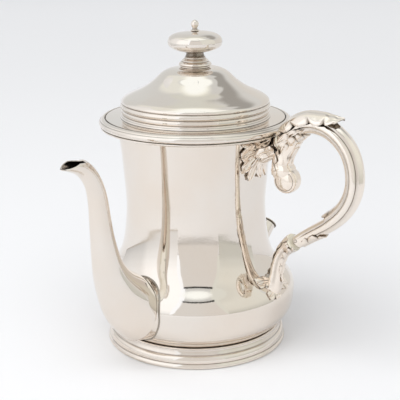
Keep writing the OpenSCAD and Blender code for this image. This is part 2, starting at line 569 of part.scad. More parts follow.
// acorn-headed cap nut on top of the knob
module knob_finial() {
    color([0.88, 0.85, 0.80]) difference() {
        rotate_extrude() polygon(concat([[0, 222.15]], smooth([[2.3, 222.15], [3, 222.45], [2.95, 222.8], [2, 223.2],
            [1.6, 223.9], [1.75, 224.5], [2.3, 225.3], [2.75, 226.4], [2.7, 227.4], [2.2, 228.5], [1.3, 229.3], [0.6, 229.6]], 2),
            [[0, 229.7]]));
        translate([0, 0, 221]) cylinder(h = 4, r = 1.1);
    }
}
// rod that draws the knob down onto the lid
module knob_stud() {
    color([0.70, 0.68, 0.64]) union() {
        translate([0, 0, 188.8]) cylinder(h = 33.3, r = 1.5);
        translate([0, 0, 222.1 - eps]) cylinder(h = 2.6, r = 1.08);
    }
}
module knob_washer() {
    color([0.74, 0.72, 0.68]) translate([0, 0, 195.8]) difference() {
        cylinder(h = 1, r = 5);
        translate([0, 0, -1]) cylinder(h = 3, r = 1.55);
    }
}
module knob_nut() {
    color([0.70, 0.68, 0.64]) translate([0, 0, 192.8]) difference() {
        cylinder(h = 2.9, r = 3.4, $fn = 6);
        translate([0, 0, -1]) cylinder(h = 5, r = 1.52);
    }
}

belly_shell();
neck_shell();
bottom_plate();
foot_ring();
rim_moulding();
rim_seat();
inner_liner();
transfer_tube();
strainer_plate();
spout_body();
spout_root_bead();
filler_spout();
filler_root_bead();
upper_root_leaf();
upper_socket();
upper_washer();
upper_tenon();
upper_pin();
handle_grip();
handle_scroll();
scroll_volute();
scroll_leaf();
grip_top_leaf();
grip_tail_leaf();
lower_pin();
lower_tenon();
lower_washer();
lower_socket();
lower_socket_leaf();
lower_root_leaf();
lid_cover();
lid_flange();
lid_bezel();
knob_collar();
knob_lower();
knob_upper();
knob_finial();
knob_stud();
knob_washer();
knob_nut();
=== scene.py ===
import json
import math

import bmesh
import bpy
import numpy as np
from mathutils import Matrix, Vector, noise


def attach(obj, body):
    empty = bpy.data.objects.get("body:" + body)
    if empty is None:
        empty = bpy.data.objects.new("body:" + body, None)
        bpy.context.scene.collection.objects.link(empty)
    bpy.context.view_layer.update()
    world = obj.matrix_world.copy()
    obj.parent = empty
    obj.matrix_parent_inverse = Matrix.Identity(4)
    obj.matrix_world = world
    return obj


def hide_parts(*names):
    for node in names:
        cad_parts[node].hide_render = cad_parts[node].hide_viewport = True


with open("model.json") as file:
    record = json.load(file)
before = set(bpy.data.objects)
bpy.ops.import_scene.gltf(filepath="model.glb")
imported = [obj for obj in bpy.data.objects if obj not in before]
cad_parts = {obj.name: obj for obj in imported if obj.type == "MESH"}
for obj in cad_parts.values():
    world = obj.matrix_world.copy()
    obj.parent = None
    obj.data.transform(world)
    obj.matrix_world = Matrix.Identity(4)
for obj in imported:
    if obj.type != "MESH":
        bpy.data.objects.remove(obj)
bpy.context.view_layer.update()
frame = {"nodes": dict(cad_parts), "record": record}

# Silver coffee pot. Lengths below are in millimetres unless a name ends in _m.
# +X runs along the spout, +Y along the handle, +Z is up.
MM = 0.001
PI = math.pi


# ---------------------------------------------------------------- curves
class Line:
    """Smooth curve through points, by distance along it."""

    def __init__(self, P, keys=None):
        P = np.array(P, float)
        if P.ndim == 1:
            P = P[:, None]
        if keys is None:
            keys = np.concatenate([[0], np.cumsum(np.linalg.norm(np.diff(P, axis=0), axis=1))])
        t = np.array(keys, float)
        n = len(t)
        h = np.diff(t)
        A = np.zeros((n, n))
        b = np.zeros(P.shape)
        A[0, 0] = A[-1, -1] = 1
        for i in range(1, n - 1):
            A[i, i - 1], A[i, i], A[i, i + 1] = h[i - 1], 2 * (h[i - 1] + h[i]), h[i]
            b[i] = 6 * ((P[i + 1] - P[i]) / h[i] - (P[i] - P[i - 1]) / h[i - 1])
        self.P, self.t, self.M, self.length = P, t, np.linalg.solve(A, b), t[-1]

    def _at(self, s):
        s = np.clip(np.asarray(s, float), self.t[0], self.t[-1])
        i = np.clip(np.searchsorted(self.t, s, side="right") - 1, 0, len(self.t) - 2)
        return s, i, self.t[i + 1] - self.t[i]

    def __call__(self, s):
        s, i, h = self._at(s)
        a, b = (self.t[i + 1] - s)[..., None], (s - self.t[i])[..., None]
        h = h[..., None]
        return (
            self.M[i] * a**3 / (6 * h) + self.M[i + 1] * b**3 / (6 * h)
            + (self.P[i] / h - self.M[i] * h / 6) * a + (self.P[i + 1] / h - self.M[i + 1] * h / 6) * b
        )

    def slope(self, s):
        s, i, h = self._at(s)
        a, b = (self.t[i + 1] - s)[..., None], (s - self.t[i])[..., None]
        h = h[..., None]
        return -self.M[i] * a**2 / (2 * h) + self.M[i + 1] * b**2 / (2 * h) + (self.P[i + 1] - self.P[i]) / h - h * (
            self.M[i + 1] - self.M[i]) / 6

    def points(self, step):
        return self(np.linspace(0, self.length, max(2, int(self.length / step) + 1)))


def ease(pairs):
    """Function through (x, y) pairs with soft turns at each pair."""
    x = np.array([p[0] for p in pairs], float)
    y = np.array([p[1] for p in pairs], float)

    def f(v):
        v = np.clip(v, x[0], x[-1])
        i = np.clip(np.searchsorted(x, v, side="right") - 1, 0, len(x) - 2)
        k = (v - x[i]) / (x[i + 1] - x[i])
        return y[i] + (y[i + 1] - y[i]) * (3 * k**2 - 2 * k**3)

    return f


def step01(v, a, b):
    k = np.clip((v - a) / (b - a), 0, 1)
    return k * k * (3 - 2 * k)


def soft(points, r, n=4):
    """Open outline with its corners rounded by r."""
    P = [np.array(p, float) for p in points]
    out = [P[0]]
    for i in range(1, len(P) - 1):
        a, b = P[i - 1] - P[i], P[i + 1] - P[i]
        la, lb = np.linalg.norm(a), np.linalg.norm(b)
        q = min(r, la * 0.45, lb * 0.45)
        s, e = P[i] + a / la * q, P[i] + b / lb * q
        for k in range(n + 1):
            t = k / n
            out.append((1 - t) ** 2 * s + 2 * t * (1 - t) * P[i] + t**2 * e)
    out.append(P[-1])
    return out


# ---------------------------------------------------------------- meshes
def build(name, V, F, mat, body="pot", slot=None, stands_for=(), sharp=None, cavity=None, weld=0):
    me = bpy.data.meshes.new(name)
    me.from_pydata((np.asarray(V, float) * MM).tolist(), [], F)
    # per-point darkening stored on the mesh: tarnish in hollows plus painted shade in grooves, creases, undersides and
    # bores
    if cavity is not None:
        at = me.attributes.new("cavity", "FLOAT", "POINT")
        at.data.foreach_set("value", np.clip(np.asarray(cavity, np.float32), 0, 1))
    if weld:
        bm = bmesh.new()
        bm.from_mesh(me)
        bmesh.ops.remove_doubles(bm, verts=bm.verts, dist=weld * MM)
        bmesh.ops.dissolve_degenerate(bm, edges=bm.edges, dist=1e-7)
        bm.to_mesh(me)
        bm.free()
    bm = bmesh.new()
    bm.from_mesh(me)
    bmesh.ops.recalc_face_normals(bm, faces=bm.faces)
    bm.to_mesh(me)
    bm.free()
    me.polygons.foreach_set("use_smooth", [True] * len(me.polygons))
    if sharp:
        me.set_sharp_from_angle(angle=math.radians(sharp))
    me.materials.append(mat)
    me.update()
    o = bpy.data.objects.new(name, me)
    bpy.context.scene.collection.objects.link(o)
    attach(o, body)
    if stands_for:
        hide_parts(*stands_for)
    return o


def lathe_parts(profile, segments, closed=True):
    """Vertices and faces of an outline [(r, z)] turned about Z. A closed outline joins its last point to its first."""
    P = [(float(p[0]), float(p[1])) for p in profile]
    V, rows, F = [], [], []
    ang = np.linspace(0, 2 * PI, segments, endpoint=False)
    ca, sa = np.cos(ang), np.sin(ang)
    for r, z in P:
        if r < 1e-6:
            rows.append([len(V)])
            V.append((0.0, 0.0, z))
        else:
            rows.append(list(range(len(V), len(V) + segments)))
            V.extend(zip((r * ca).tolist(), (r * sa).tolist(), [z] * segments))
    pairs = [(i, i + 1) for i in range(len(P) - 1)]
    if closed and not (len(rows[0]) == 1 and len(rows[-1]) == 1):
        pairs.append((len(P) - 1, 0))
    for i, j in pairs:
        A, B = rows[i], rows[j]
        if len(A) == 1 and len(B) == 1:
            continue
        for k in range(segments):
            m = (k + 1) % segments
            if len(A) == 1:
                F.append((A[0], B[m], B[k]))
            elif len(B) == 1:
                F.append((A[k], A[m], B[0]))
            else:
                F.append((A[k], A[m], B[m], B[k]))
    return np.array(V), F


def lathe(name, profile, mat, segments=192, turn=None, cavity=None, wobble=0, **kw):
    V, F = lathe_parts(profile, segments)
    if wobble:
        for i, (x, y, z) in enumerate(V):
            r = math.hypot(x, y)
            if r > 1:
                d = noise.noise(Vector((x * 0.035, y * 0.035, z * 0.045))) * wobble
                V[i] = (x * (1 + d / r), y * (1 + d / r), z)
    cav = None
    if cavity is not None:
        cav = [cavity(math.hypot(x, y), z) for x, y, z in V]
    if turn is not None:
        V = turn(V)
    return build(name, V, F, mat, cavity=cav, **kw)


def grid_faces(m, n, base=0, wrap=False, flip=False):
    F = []
    for i in range(m - 1):
        for j in range(n if wrap else n - 1):
            a, b = base + i * n + j, base + i * n + (j + 1) % n
            q = (a, b, b + n, a + n)
            F.append(q[::-1] if flip else q)
    return F


def loft(name, rings, mat, cavity=None, caps=True, **kw):
    """Closed solid through equal rings of points."""
    R = np.array(rings, float)
    m, n = R.shape[:2]
    V = R.reshape(-1, 3).tolist()
    F = grid_faces(m, n, wrap=True)
    cav = None if cavity is None else list(np.array(cavity, float).ravel())
    if caps:
        for row, flip in ((0, True), (m - 1, False)):
            c = len(V)
            V.append(R[row].mean(0).tolist())
            if cav is not None:
                cav.append(float(np.mean(np.array(cavity)[row])))
            for j in range(n):
                a, b = row * n + j, row * n + (j + 1) % n
                F.append((b, a, c) if flip else (a, b, c))
    return build(name, V, F, mat, cavity=cav, **kw)


# ---------------------------------------------------------------- materials
def node_mat(name, base, dark, rough, rough_dark, grain, wave, scratch=0.0, metal=1.0, cavity=True, spec=0.5):
    """Metal with soft tone changes, wipe marks, recesses darkened by tarnish and painted shade, and a faint unevenness
    of the sheet.
    """
    m = bpy.data.materials.new(name)
    m.use_nodes = True
    t = m.node_tree
    t.nodes.clear()
    N = lambda kind: t.nodes.new(kind)
    L = t.links.new
    out = N("ShaderNodeOutputMaterial")
    p = N("ShaderNodeBsdfPrincipled")
    L(p.outputs["BSDF"], out.inputs["Surface"])
    p.inputs["Metallic"].default_value = metal
    p.inputs["Specular IOR Level"].default_value = spec
    co = N("ShaderNodeTexCoord")

    def tex(scale, detail, rough_=0.5, stretch=None):
        n = N("ShaderNodeTexNoise")
        n.inputs["Scale"].default_value = scale
        n.inputs["Detail"].default_value = detail
        n.inputs["Roughness"].default_value = rough_
        if stretch:
            mp = N("ShaderNodeMapping")
            mp.inputs["Scale"].default_value = stretch
            L(co.outputs["Object"], mp.inputs["Vector"])
            L(mp.outputs["Vector"], n.inputs["Vector"])
        else:
            L(co.outputs["Object"], n.inputs["Vector"])
        return n

    def span(src, a, b, c, d):
        r = N("ShaderNodeMapRange")
        r.inputs["From Min"].default_value = a
        r.inputs["From Max"].default_value = b
        r.inputs["To Min"].default_value = c
        r.inputs["To Max"].default_value = d
        L(src, r.inputs["Value"])
        return r.outputs["Result"]

    def blend(fac, a, b):
        x = N("ShaderNodeMix")
        x.data_type = "RGBA"
        if isinstance(fac, float):
            x.inputs["Factor"].default_value = fac
        else:
            L(fac, x.inputs["Factor"])
        for s, v in (("A", a), ("B", b)):
            i = [q for q in x.inputs if q.name == s and q.type == "RGBA"][0]
            if isinstance(v, tuple):
                i.default_value = (*v, 1)
            else:
                L(v, i)
        return [q for q in x.outputs if q.type == "RGBA"][0]

    def math_(op, a, b):
        x = N("ShaderNodeMath")
        x.operation = op
        for k, v in enumerate((a, b)):
            if isinstance(v, (int, float)):
                x.inputs[k].default_value = v
            else:
                L(v, x.inputs[k])
        return x.outputs[0]

    tone = tex(22, 4, 0.55)
    warm = tuple(c * k for c, k in zip(base, (0.985, 0.955, 0.925)))
    colour = blend(span(tone.outputs["Fac"], 0.38, 0.68, 0.0, 1.0), tuple(base), warm)
    fine = tex(420, 3, 0.6)
    colour = blend(span(fine.outputs["Fac"], 0.60, 0.80, 0.0, 0.16), colour, tuple(c * 0.8 for c in base))
    rough_v = span(tex(60, 5, 0.65).outputs["Fac"], 0.3, 0.75, rough * 0.7, rough * 1.5)
    # darken the colour and raise the roughness by the per-point attribute: tarnish in hollows plus painted shade in
    # grooves, creases, undersides and bores
    if cavity:
        at = N("ShaderNodeAttribute")
        at.attribute_name = "cavity"
        cav = math_("MULTIPLY", at.outputs["Fac"], span(tex(160, 3).outputs["Fac"], 0.25, 0.75, 0.75, 1.2))
        cav = span(cav, 0.0, 1.0, 0.0, 1.0)
        colour = blend(cav, colour, tuple(dark))
        rough_v = math_("ADD", rough_v, span(cav, 0.0, 1.0, 0.0, rough_dark))
    L(colour, p.inputs["Base Color"])
    L(rough_v, p.inputs["Roughness"])
    b1 = N("ShaderNodeBump")
    b1.inputs["Strength"].default_value = wave
    b1.inputs["Distance"].default_value = 0.002
    L(tex(9, 1.5, 0.4).outputs["Fac"], b1.inputs["Height"])
    b2 = N("ShaderNodeBump")
    b2.inputs["Strength"].default_value = grain
    b2.inputs["Distance"].default_value = 0.0001
    L(tex(900, 4, 0.6, stretch=(1, 1, 0.18) if scratch else None).outputs["Fac"], b2.inputs["Height"])
    L(b1.outputs["Normal"], b2.inputs["Normal"])
    L(b2.outputs["Normal"], p.inputs["Normal"])
    return m


SILVER = (0.812, 0.755, 0.694)
# the third colour of each finish is the colour its recesses are darkened towards: tarnish plus painted shade
bright = node_mat("silver_bright", SILVER, (0.13, 0.10, 0.07), 0.05, 0.25, 0.05, 0.03)
cast = node_mat("silver_cast", (0.915, 0.838, 0.758), (0.13, 0.098, 0.066), 0.12, 0.25, 0.12, 0.04)
plain = node_mat("silver_plain", (0.80, 0.77, 0.72), (0.12, 0.09, 0.06), 0.26, 0.2, 0.25, 0.05, scratch=1)
solder_mat = node_mat("solder", (0.80, 0.75, 0.68), (0.1, 0.08, 0.06), 0.22, 0.2, 0.3, 0.05)
bone = node_mat("bone_white", (0.83, 0.79, 0.66), (0.25, 0.18, 0.10), 0.38, 0.2, 0.12, 0.02, metal=0.0)
SLOT = {"silver_bright": bright, "silver_cast": cast, "silver_plain": plain, "solder": solder_mat, "bone_white": bone}

# ---------------------------------------------------------------- body
BODY = Line([
    (59.2, 13.8), (60.9, 15.2), (65.4, 20), (69.6, 27), (70.97, 35), (70.77, 43.5), (66.1, 51), (60.35, 57.5),
    (56.35, 63), (53.3, 70), (51.5, 78), (50.2, 89), (49.5, 101), (50.4, 117), (51.9, 136), (54.4, 156),
])
_b = BODY.points(0.5)
_o = np.argsort(_b[:, 1])


def body_r(z):
    return np.interp(z, _b[_o, 1], _b[_o, 0])


def shifted(P, d):
    """Open outline moved sideways by d, to its left."""
    P = np.array(P, float)
    g = np.gradient(P, axis=0)
    g /= np.linalg.norm(g, axis=1)[:, None]
    return P + d * np.stack([-g[:, 1], g[:, 0]], 1)


outer = BODY.points(0.75)
inner = shifted(BODY.points(2.0), 0.9)[::-1]
inner = [p for p in inner if 14.8 < p[1] < 155.9]
lathe("body_shell", [(50, 13.8), (54, 13.8)] + list(map(tuple, outer)) + [(53.55, 156.0)] + [tuple(p) for p in inner]
      + [(54, 14.7), (50, 14.7)], bright, segments=288, sharp=40, slot="silver_bright",
      stands_for=("belly_shell", "neck_shell"), cavity=lambda r, z: 0.0)

foot_out = [(63.6, 0.0)] + [tuple(p) for p in Line([(64.4, 0.25), (64.8, 1.0), (64.7, 1.9), (64.15, 2.8)]).points(0.3)] + [(63.75, 3.2), (63.6, 3.55), (63.72, 3.9)]
foot_out += [tuple(p) for p in Line([(63.98, 4.3), (64.0, 5.2), (63.75, 6.6), (63.25, 7.7), (62.65, 8.4)]).points(0.3)] + [(62.1, 8.65), (61.72, 8.9), (61.6, 9.3)]
foot_out += [tuple(p) for p in Line([(61.35, 9.8), (60.75, 10.8), (60.35, 11.9), (60.3, 12.5)]).points(0.3)]
foot_out += [tuple(p) for p in Line([(60.55, 12.62), (60.85, 12.95), (60.8, 13.4), (60.4, 13.7), (59.6, 13.76)]).points(0.15)]
# the foot's grooves (z 3.55, 9.0, 12.55) and its joint with the body are painted as dark lines, painted shade with
# some tarnish; the hollow band between them is painted a little darker and the inner face under the pot much darker,
# both painted shade
lathe("foot_ring_silver", foot_out + [(55.0, 13.76), (57.4, 12.6), (58.6, 10.4), (60.4, 8.4), (61.8, 6.6), (62.2, 4), (62.6, 1.8), (62.0, 0.3), (62.3, 0)],
      bright, segments=256, sharp=32, slot="silver_bright", stands_for=("foot_ring",),
      cavity=lambda r, z: (0.85 * max(0.0, 1 - abs(z - 3.55) / 0.45) + 0.9 * max(0.0, 1 - abs(z - 9.0) / 0.4) + 0.8 * max(0.0, 1 - abs(z - 12.55) / 0.22)
                           + 0.12 * float(step01(z, 8.9, 10.4)) * float(step01(z, 12.6, 11.6)) + (0.55 if z > 13.72 else 0)) if r > 58.7 else 0.6)

rim_a = Line([(65.2, 156.2), (65.9, 156.6), (66.3, 157.2), (65.9, 157.9)]).points(0.2)
rim_b = Line([(66.2, 158.3), (67.0, 159.2), (67.3, 160.3), (67.1, 161.3), (66.6, 161.95)]).points(0.25)
rim_c = Line([(66.1, 162.25), (65.8, 162.75), (65.1, 163.25), (64.2, 163.55), (63.5, 163.5), (63.05, 163.2)]).points(0.2)
# painted shade lines, with some tarnish: in the two grooves between the beads and along the inner edge where the lid
# sits
lathe("rim_moulding_silver", [(54.9, 156.15)] + [tuple(p) for p in rim_a] + [(65.75, 158.05)] + [tuple(p) for p in rim_b] + [(66.25, 162.08)] + [tuple(p) for p in rim_c]
      + [(62.9, 162.9), (62.9, 162.4), (62.9, 161.3), (64.3, 161), (65.3, 160.6), (64.1, 157.7), (62.3, 157.2), (54.9, 157.2)],
      bright, segments=256, sharp=35, slot="silver_bright", stands_for=("rim_moulding",),
      cavity=lambda r, z: max(0.8 if 157.7 < z < 158.35 and r > 65 else 0, 0.6 * max(0.0, 1 - abs(z - 162.1) / 0.22) if r > 66 else 0, 0.85 * float(step01(r, 63.7, 63.1))))

# the seat is painted darker at its outer edge under the lid flange and faintly darker elsewhere: painted shade
lathe("rim_seat_silver", soft([(52.9, 162.4), (62.85, 162.4), (62.85, 161.3), (55.3, 161.3), (54.8, 160.8), (54.8, 156.2), (52.9, 156.2), (52.9, 162.4)], 0.25)[:-1],
      plain, segments=192, sharp=35, slot="silver_plain", stands_for=("rim_seat",), cavity=lambda r, z: 0.5 if r > 62 else 0.1)

_t = [(44.8 - 14 + 14 * math.sin(a), 26 + 14 - 14 * math.cos(a)) for a in np.linspace(0, PI / 2, 16)]
_u = [(44.8 - 14 + 13.2 * math.sin(a), 26 + 14 - 13.2 * math.cos(a)) for a in np.linspace(PI / 2, 0, 16)]

# ---------------------------------------------------------------- lid
DRUM = soft([(52.25, 163.85), (52.0, 164.5), (51.55, 165.0), (51.45, 165.9), (50.95, 166.2), (50.9, 166.5), (51.35, 166.8), (51.55, 167.4), (51.55, 168.5),
             (51.35, 169.25), (50.95, 169.6), (50.9, 169.9), (51.5, 170.2), (52.05, 170.9), (52.2, 171.8), (52.0, 172.8), (51.55, 173.4), (51.0, 173.6),
             (50.95, 173.9), (51.35, 174.2)], 0.16, 3)
DOME = Line([(51.5, 174.45), (51.4, 175.1), (50.5, 176.35), (48.1, 178.1), (44.9, 179.7), (41.8, 181.1), (38.1, 182.8), (34.1, 185.1), (30.3, 187.8),
             (27.1, 190.6), (24.6, 193), (21.9, 195), (17.5, 196.9), (12, 197.6), (2.2, 197.8)])
lid_out = [tuple(p) for p in DRUM] + [tuple(p) for p in DOME.points(0.45)]
lid_in = [tuple(p) for p in shifted(DOME.points(1.5), 0.8)[::-1] if p[0] > 2.3 and p[1] > 174.0]
# the drum's grooves and its lower edges are painted as dark lines: painted shade in the grooves, with some tarnish
lathe("lid_cover_silver", lid_out + [(2.2, 197.0)] + lid_in + [(50.2, 173.2), (50.0, 166), (50.9, 164.4), (51.4, 163.85)],
      bright, segments=288, body="lid", sharp=38, slot="silver_bright", stands_for=("lid_cover",),
      cavity=lambda r, z: min(1.0, sum(0.9 * max(0.0, 1 - abs(z - q) / 0.34) for q in (166.35, 169.75, 173.75)) + 0.5 * max(0.0, 1 - abs(z - 165.0) / 0.3)
                              + 0.5 * max(0.0, 1 - abs(z - 163.85) / 0.4)) if r > 49.5 else 0.0)
# the flange's outer edge and its joint with the drum are painted darker: painted shade
lathe("lid_flange_silver", soft([(42.6, 163.7), (62.2, 163.7), (62.5, 163.4), (62.5, 162.72), (42.6, 162.72), (42.6, 163.7)], 0.12)[:-1],
      bright, segments=256, body="lid", sharp=35, slot="silver_bright", stands_for=("lid_flange",),
      cavity=lambda r, z: 0.62 if r > 62.25 else (0.35 * float(step01(r, 53.0, 52.1)) if r > 51 else 0))
# the bezel, down inside the pot's mouth, is painted faintly darker all over: painted shade
lathe("lid_bezel_silver", soft([(43.5, 162.66), (43.5, 154.7), (42.95, 153.7), (42.6, 153.75), (42.6, 162.66), (43.5, 162.66)], 0.15)[:-1],
      plain, segments=192, body="lid", sharp=35, slot="silver_plain", stands_for=("lid_bezel",), cavity=lambda r, z: 0.1)

collar = soft([(10.35, 197.9), (10.55, 198.35), (10.3, 198.75), (10.15, 198.95), (11.25, 199.2), (11.5, 199.7), (10.95, 200.6), (9.9, 201.5), (9.25, 201.75), (9.25, 202.35),
               (8.9, 202.6), (8.2, 203.2), (7.4, 203.75), (7.3, 204.3), (7.0, 204.6), (6.4, 205.4), (6.05, 206.3), (6.05, 207.2), (6.4, 207.9)], 0.3)
# the collar's grooves are painted dark, painted shade with some tarnish; its neck under the knob, from z 204.2 up, is
# painted almost fully dark: painted shade under the knob
lathe("knob_collar_silver", [(0, 197.9)] + collar + [(0, 207.9)], bright, segments=128, body="lid", sharp=50, slot="silver_bright",
      stands_for=("knob_collar",), cavity=lambda r, z: min(1.0, sum(a * max(0.0, 1 - abs(z - q) / w) for q, a, w in
      ((198.95, 0.95, 0.3), (201.75, 0.8, 0.3), (203.8, 0.7, 0.3), (204.45, 0.5, 0.25))) + 0.85 * float(step01(z, 204.2, 205.2))))
k_low = [tuple(p) for p in Line([(6.3, 207.95), (9.5, 208.4), (13.2, 209.35), (16.4, 210.9), (18.2, 212.65), (18.83, 215.1)]).points(0.4)]
k_high = [tuple(p) for p in Line([(18.83, 215.12), (18.62, 216.4), (17.85, 218.1), (16.05, 219.6), (13.0, 220.9), (9.0, 221.6), (5, 222), (1.54, 222.1)]).points(0.4)]
# the knob's lower bowl is painted darker towards its underside: painted shade
lathe("knob_lower_silver", [(1.54, 208)] + k_low + [(18.3, 215.1), (17.95, 215.0), (17.3, 213), (15.7, 211.6), (12.8, 210.3), (9.2, 209.4), (1.54, 209)],
      bright, segments=160, body="lid", sharp=40, slot="silver_bright", stands_for=("knob_lower",), cavity=lambda r, z: 0.25 * float(step01(z, 211.5, 208.5)))
lathe("knob_upper_silver", [(18.3, 215.12)] + k_high + [(1.54, 221.1), (5, 221), (8.8, 220.7), (12.6, 220), (15.5, 218.8), (17.0, 217.5), (17.75, 216.2), (17.95, 215.2)],
      bright, segments=160, body="lid", sharp=40, slot="silver_bright", stands_for=("knob_upper",), cavity=lambda r, z: 0.0)
finial = [(0, 222.15)] + soft([(2.3, 222.15), (3.0, 222.45), (2.95, 222.85), (2.0, 223.15), (1.6, 223.8), (1.75, 224.5), (2.3, 225.3), (2.75, 226.4), (2.7, 227.4),
                               (2.2, 228.5), (1.3, 229.3), (0.6, 229.6)], 0.5) + [(0, 229.7)]
# the finial's narrow neck near z 223.7 is painted darker: painted shade in the crease
lathe("knob_finial_silver", finial, bright, segments=64, body="lid", sharp=55, slot="silver_bright", stands_for=("knob_finial",),
      cavity=lambda r, z: max(0.0, 0.8 - abs(z - 223.7) * 0.9))

# ---------------------------------------------------------------- spout
UP = [(64, 62.5), (67.5, 66.5), (73.5, 70.5), (79, 74.5), (83.5, 79.5), (87.2, 86), (90, 94), (92.6, 104), (94.4, 114), (96, 124),
      (98, 132.5), (101, 140), (105, 146.5), (110, 152), (117, 156.5), (126, 159)]
LO = [(77.5, 21.5), (88, 32.5), (96, 46), (101, 59), (104.2, 69.5), (106, 80), (107, 90.5), (107.8, 101.5), (108.4, 112), (109, 122),
      (110, 130), (111.6, 135.5), (114.4, 140.5), (118.5, 145), (124, 148.5), (133.2, 152.1)]
HW = [19.4, 18, 15.8, 13.4, 11.5, 9.9, 8.8, 7.8, 7.1, 6.6, 6.3, 6.1, 6.1, 6.3, 6.5, 5.6]
ST = Line([(*u, *l, h) for u, l, h in zip(UP, LO, HW)])
z_cut = lambda x: np.interp(x, [100, 108, 109.8, 112, 114.3, 115.7, 117.5, 119.7, 123.2, 126.7, 130, 133.4],
                            [153, 153.6, 154.6, 155.3, 155.5, 153.9, 154.2, 154.5, 155.0, 153.9, 152.9, 152.35])


def root_point(a, g, h):
    z = 39.25 + (21.75 + g) * np.cos(a)
    y = (20 + g) * np.sin(a)
    return np.stack([np.sqrt((body_r(z) + h) ** 2 - y * y), y, z], -1)


def spout_section(s, a, w):
    u0, u1, l0, l1, hw = ST(s)
    cx, cz, hx, hz = (u0 + l0) / 2, (u1 + l1) / 2, (u0 - l0) / 2, (u1 - l1) / 2
    k = 1 - w / math.hypot(hx, hz)
    return np.stack([cx + hx * k * np.cos(a), (hw - w) * np.sin(a), cz + hz * k * np.cos(a)], -1)


def cut_angle(s, w):
    a = np.linspace(0, PI, 1441)
    P = spout_section(s, a, w)
    over = P[:, 2] > z_cut(P[:, 0])
    return float(a[np.nonzero(over)[0][-1]]) if over.any() else 0.0


def spout():
    n, m = 96, 7
    stations = np.concatenate([np.linspace(0, ST.length * 0.8, 150), np.linspace(ST.length * 0.8, ST.length * 0.9985, 120)[1:]])
    skirt = 7
    rows_o, rows_i, cuts = [], [], []
    w = 0.9
    a_full = np.linspace(0, 2 * PI, n + 1)
    # foot of the spout, eased from the belly into the first stations
    first = [spout_section(stations[k], a_full, 0) for k in range(0, 12)]
    first_i = [spout_section(stations[k], a_full, w) for k in range(0, 12)]
    r0, r0i = root_point(a_full, 0, 0.15), root_point(a_full, -1.3, 0.15)
    lift, lift_i = root_point(a_full, -0.8, 1.5), root_point(a_full, -1.9, 1.5)
    for k in range(skirt):
        t = k / skirt
        e = t * t * (3 - 2 * t)
        up = (1 - t) ** 2 * r0 + 2 * t * (1 - t) * (lift * 0.75 + first[0] * 0.25) + t * t * first[0]
        upi = (1 - t) ** 2 * r0i + 2 * t * (1 - t) * (lift_i * 0.75 + first_i[0] * 0.25) + t * t * first_i[0]
        rows_o.append(up)
        rows_i.append(upi)
        cuts.append((0.0, 0.0))
    for s in stations:
        co, ci = cut_angle(s, 0), cut_angle(s, w)
        if co > 0 and ci == 0:
            ci = co * 0.6
        if co == 0:
            ci = 0.0
        ao, ai = np.linspace(co, 2 * PI - co, n + 1), np.linspace(ci, 2 * PI - ci, n + 1)
        rows_o.append(spout_section(s, ao, 0))
        rows_i.append(spout_section(s, ai, w))
        cuts.append((co, ci))
    rows = len(rows_o)
    open_from = next(i for i, c in enumerate(cuts) if c[0] > 0) - 1
    V = []
    O, I = np.zeros((rows, n + 1), int), np.zeros((rows, n + 1), int)
    cav = []
    for i in range(rows):
        for j in range(n + 1):
            O[i, j] = len(V)
            V.append(rows_o[i][j])
            cav.append(0.0)
        for j in range(n + 1):
            I[i, j] = len(V)
            V.append(rows_i[i][j])
            # the spout's inner surface is painted dark, darkest near the root: painted shade inside the bore
            deep = 0.85 if i < open_from + 4 else 0.6
            cav.append(deep)
    F = []
    for i in range(rows - 1):
        for j in range(n):
            F.append((O[i, j], O[i, j + 1], O[i + 1, j + 1], O[i + 1, j]))
            F.append((I[i, j], I[i + 1, j], I[i + 1, j + 1], I[i, j + 1]))
    # root strip and lip strip
    for j in range(n):
        F.append((O[0, j], I[0, j], I[0, j + 1], O[0, j + 1]))
        F.append((O[-1, j], O[-1, j + 1], I[-1, j + 1], I[-1, j]))
    # rounded rim on both sides of the mouth
    for side in (0, n):
        prev = None
        for i in range(open_from, rows):
            po, pi_ = np.array(V[O[i, side]]), np.array(V[I[i, side]])
            row = [O[i, side]]
            mid, half = (po + pi_) / 2, (po - pi_) / 2
            r = np.linalg.norm(half)
            for q in range(1, m):
                t = PI * q / m
                row.append(len(V))
                V.append(mid + half * math.cos(t) + np.array([0, 0, 1.0]) * min(r, 0.55) * 0.9 * math.sin(t))
                # the inner half of the rounded lip is painted a little darker: painted shade
                cav.append(0.0 if q < m * 0.62 else 0.35)
            row.append(I[i, side])
            if prev:
                for q in range(m):
                    f = (prev[q], prev[q + 1], row[q + 1], row[q])
                    F.append(f if side == 0 else f[::-1])
            prev = row
    return build("spout_silver", V, F, bright, cavity=cav, weld=0.002, sharp=50, slot="silver_bright", stands_for=("spout_body",))


spout()


def bead(name, ring, r, mat, seg=10, up=None, **kw):
    """Round bead along a closed ring of points."""
    P = np.array(ring, float)
    T = np.roll(P, -1, 0) - np.roll(P, 1, 0)
    T /= np.linalg.norm(T, axis=1)[:, None]
    A = np.array(up, float)
    A = A - (A * T).sum(1)[:, None] * T
    A /= np.linalg.norm(A, axis=1)[:, None]
    B = np.cross(T, A)
    n = len(P)
    V, F = [], []
    for i in range(n):
        rr = r * (1 + 0.12 * noise.noise(Vector(P[i] * 0.21)))
        for k in range(seg):
            b = 2 * PI * k / seg
            V.append(P[i] + (A[i] * math.cos(b) + B[i] * math.sin(b)) * rr)
    for i in range(n):
        for k in range(seg):
            i2, k2 = (i + 1) % n, (k + 1) % seg
            F.append((i * seg + k, i * seg + k2, i2 * seg + k2, i2 * seg + k))
    return build(name, V, F, mat, **kw)


_a = np.linspace(0, 2 * PI, 160, endpoint=False)
_r = root_point(_a, 0.35, 0.25)
_out = np.stack([_r[:, 0], _r[:, 1], 0 * _a], -1)
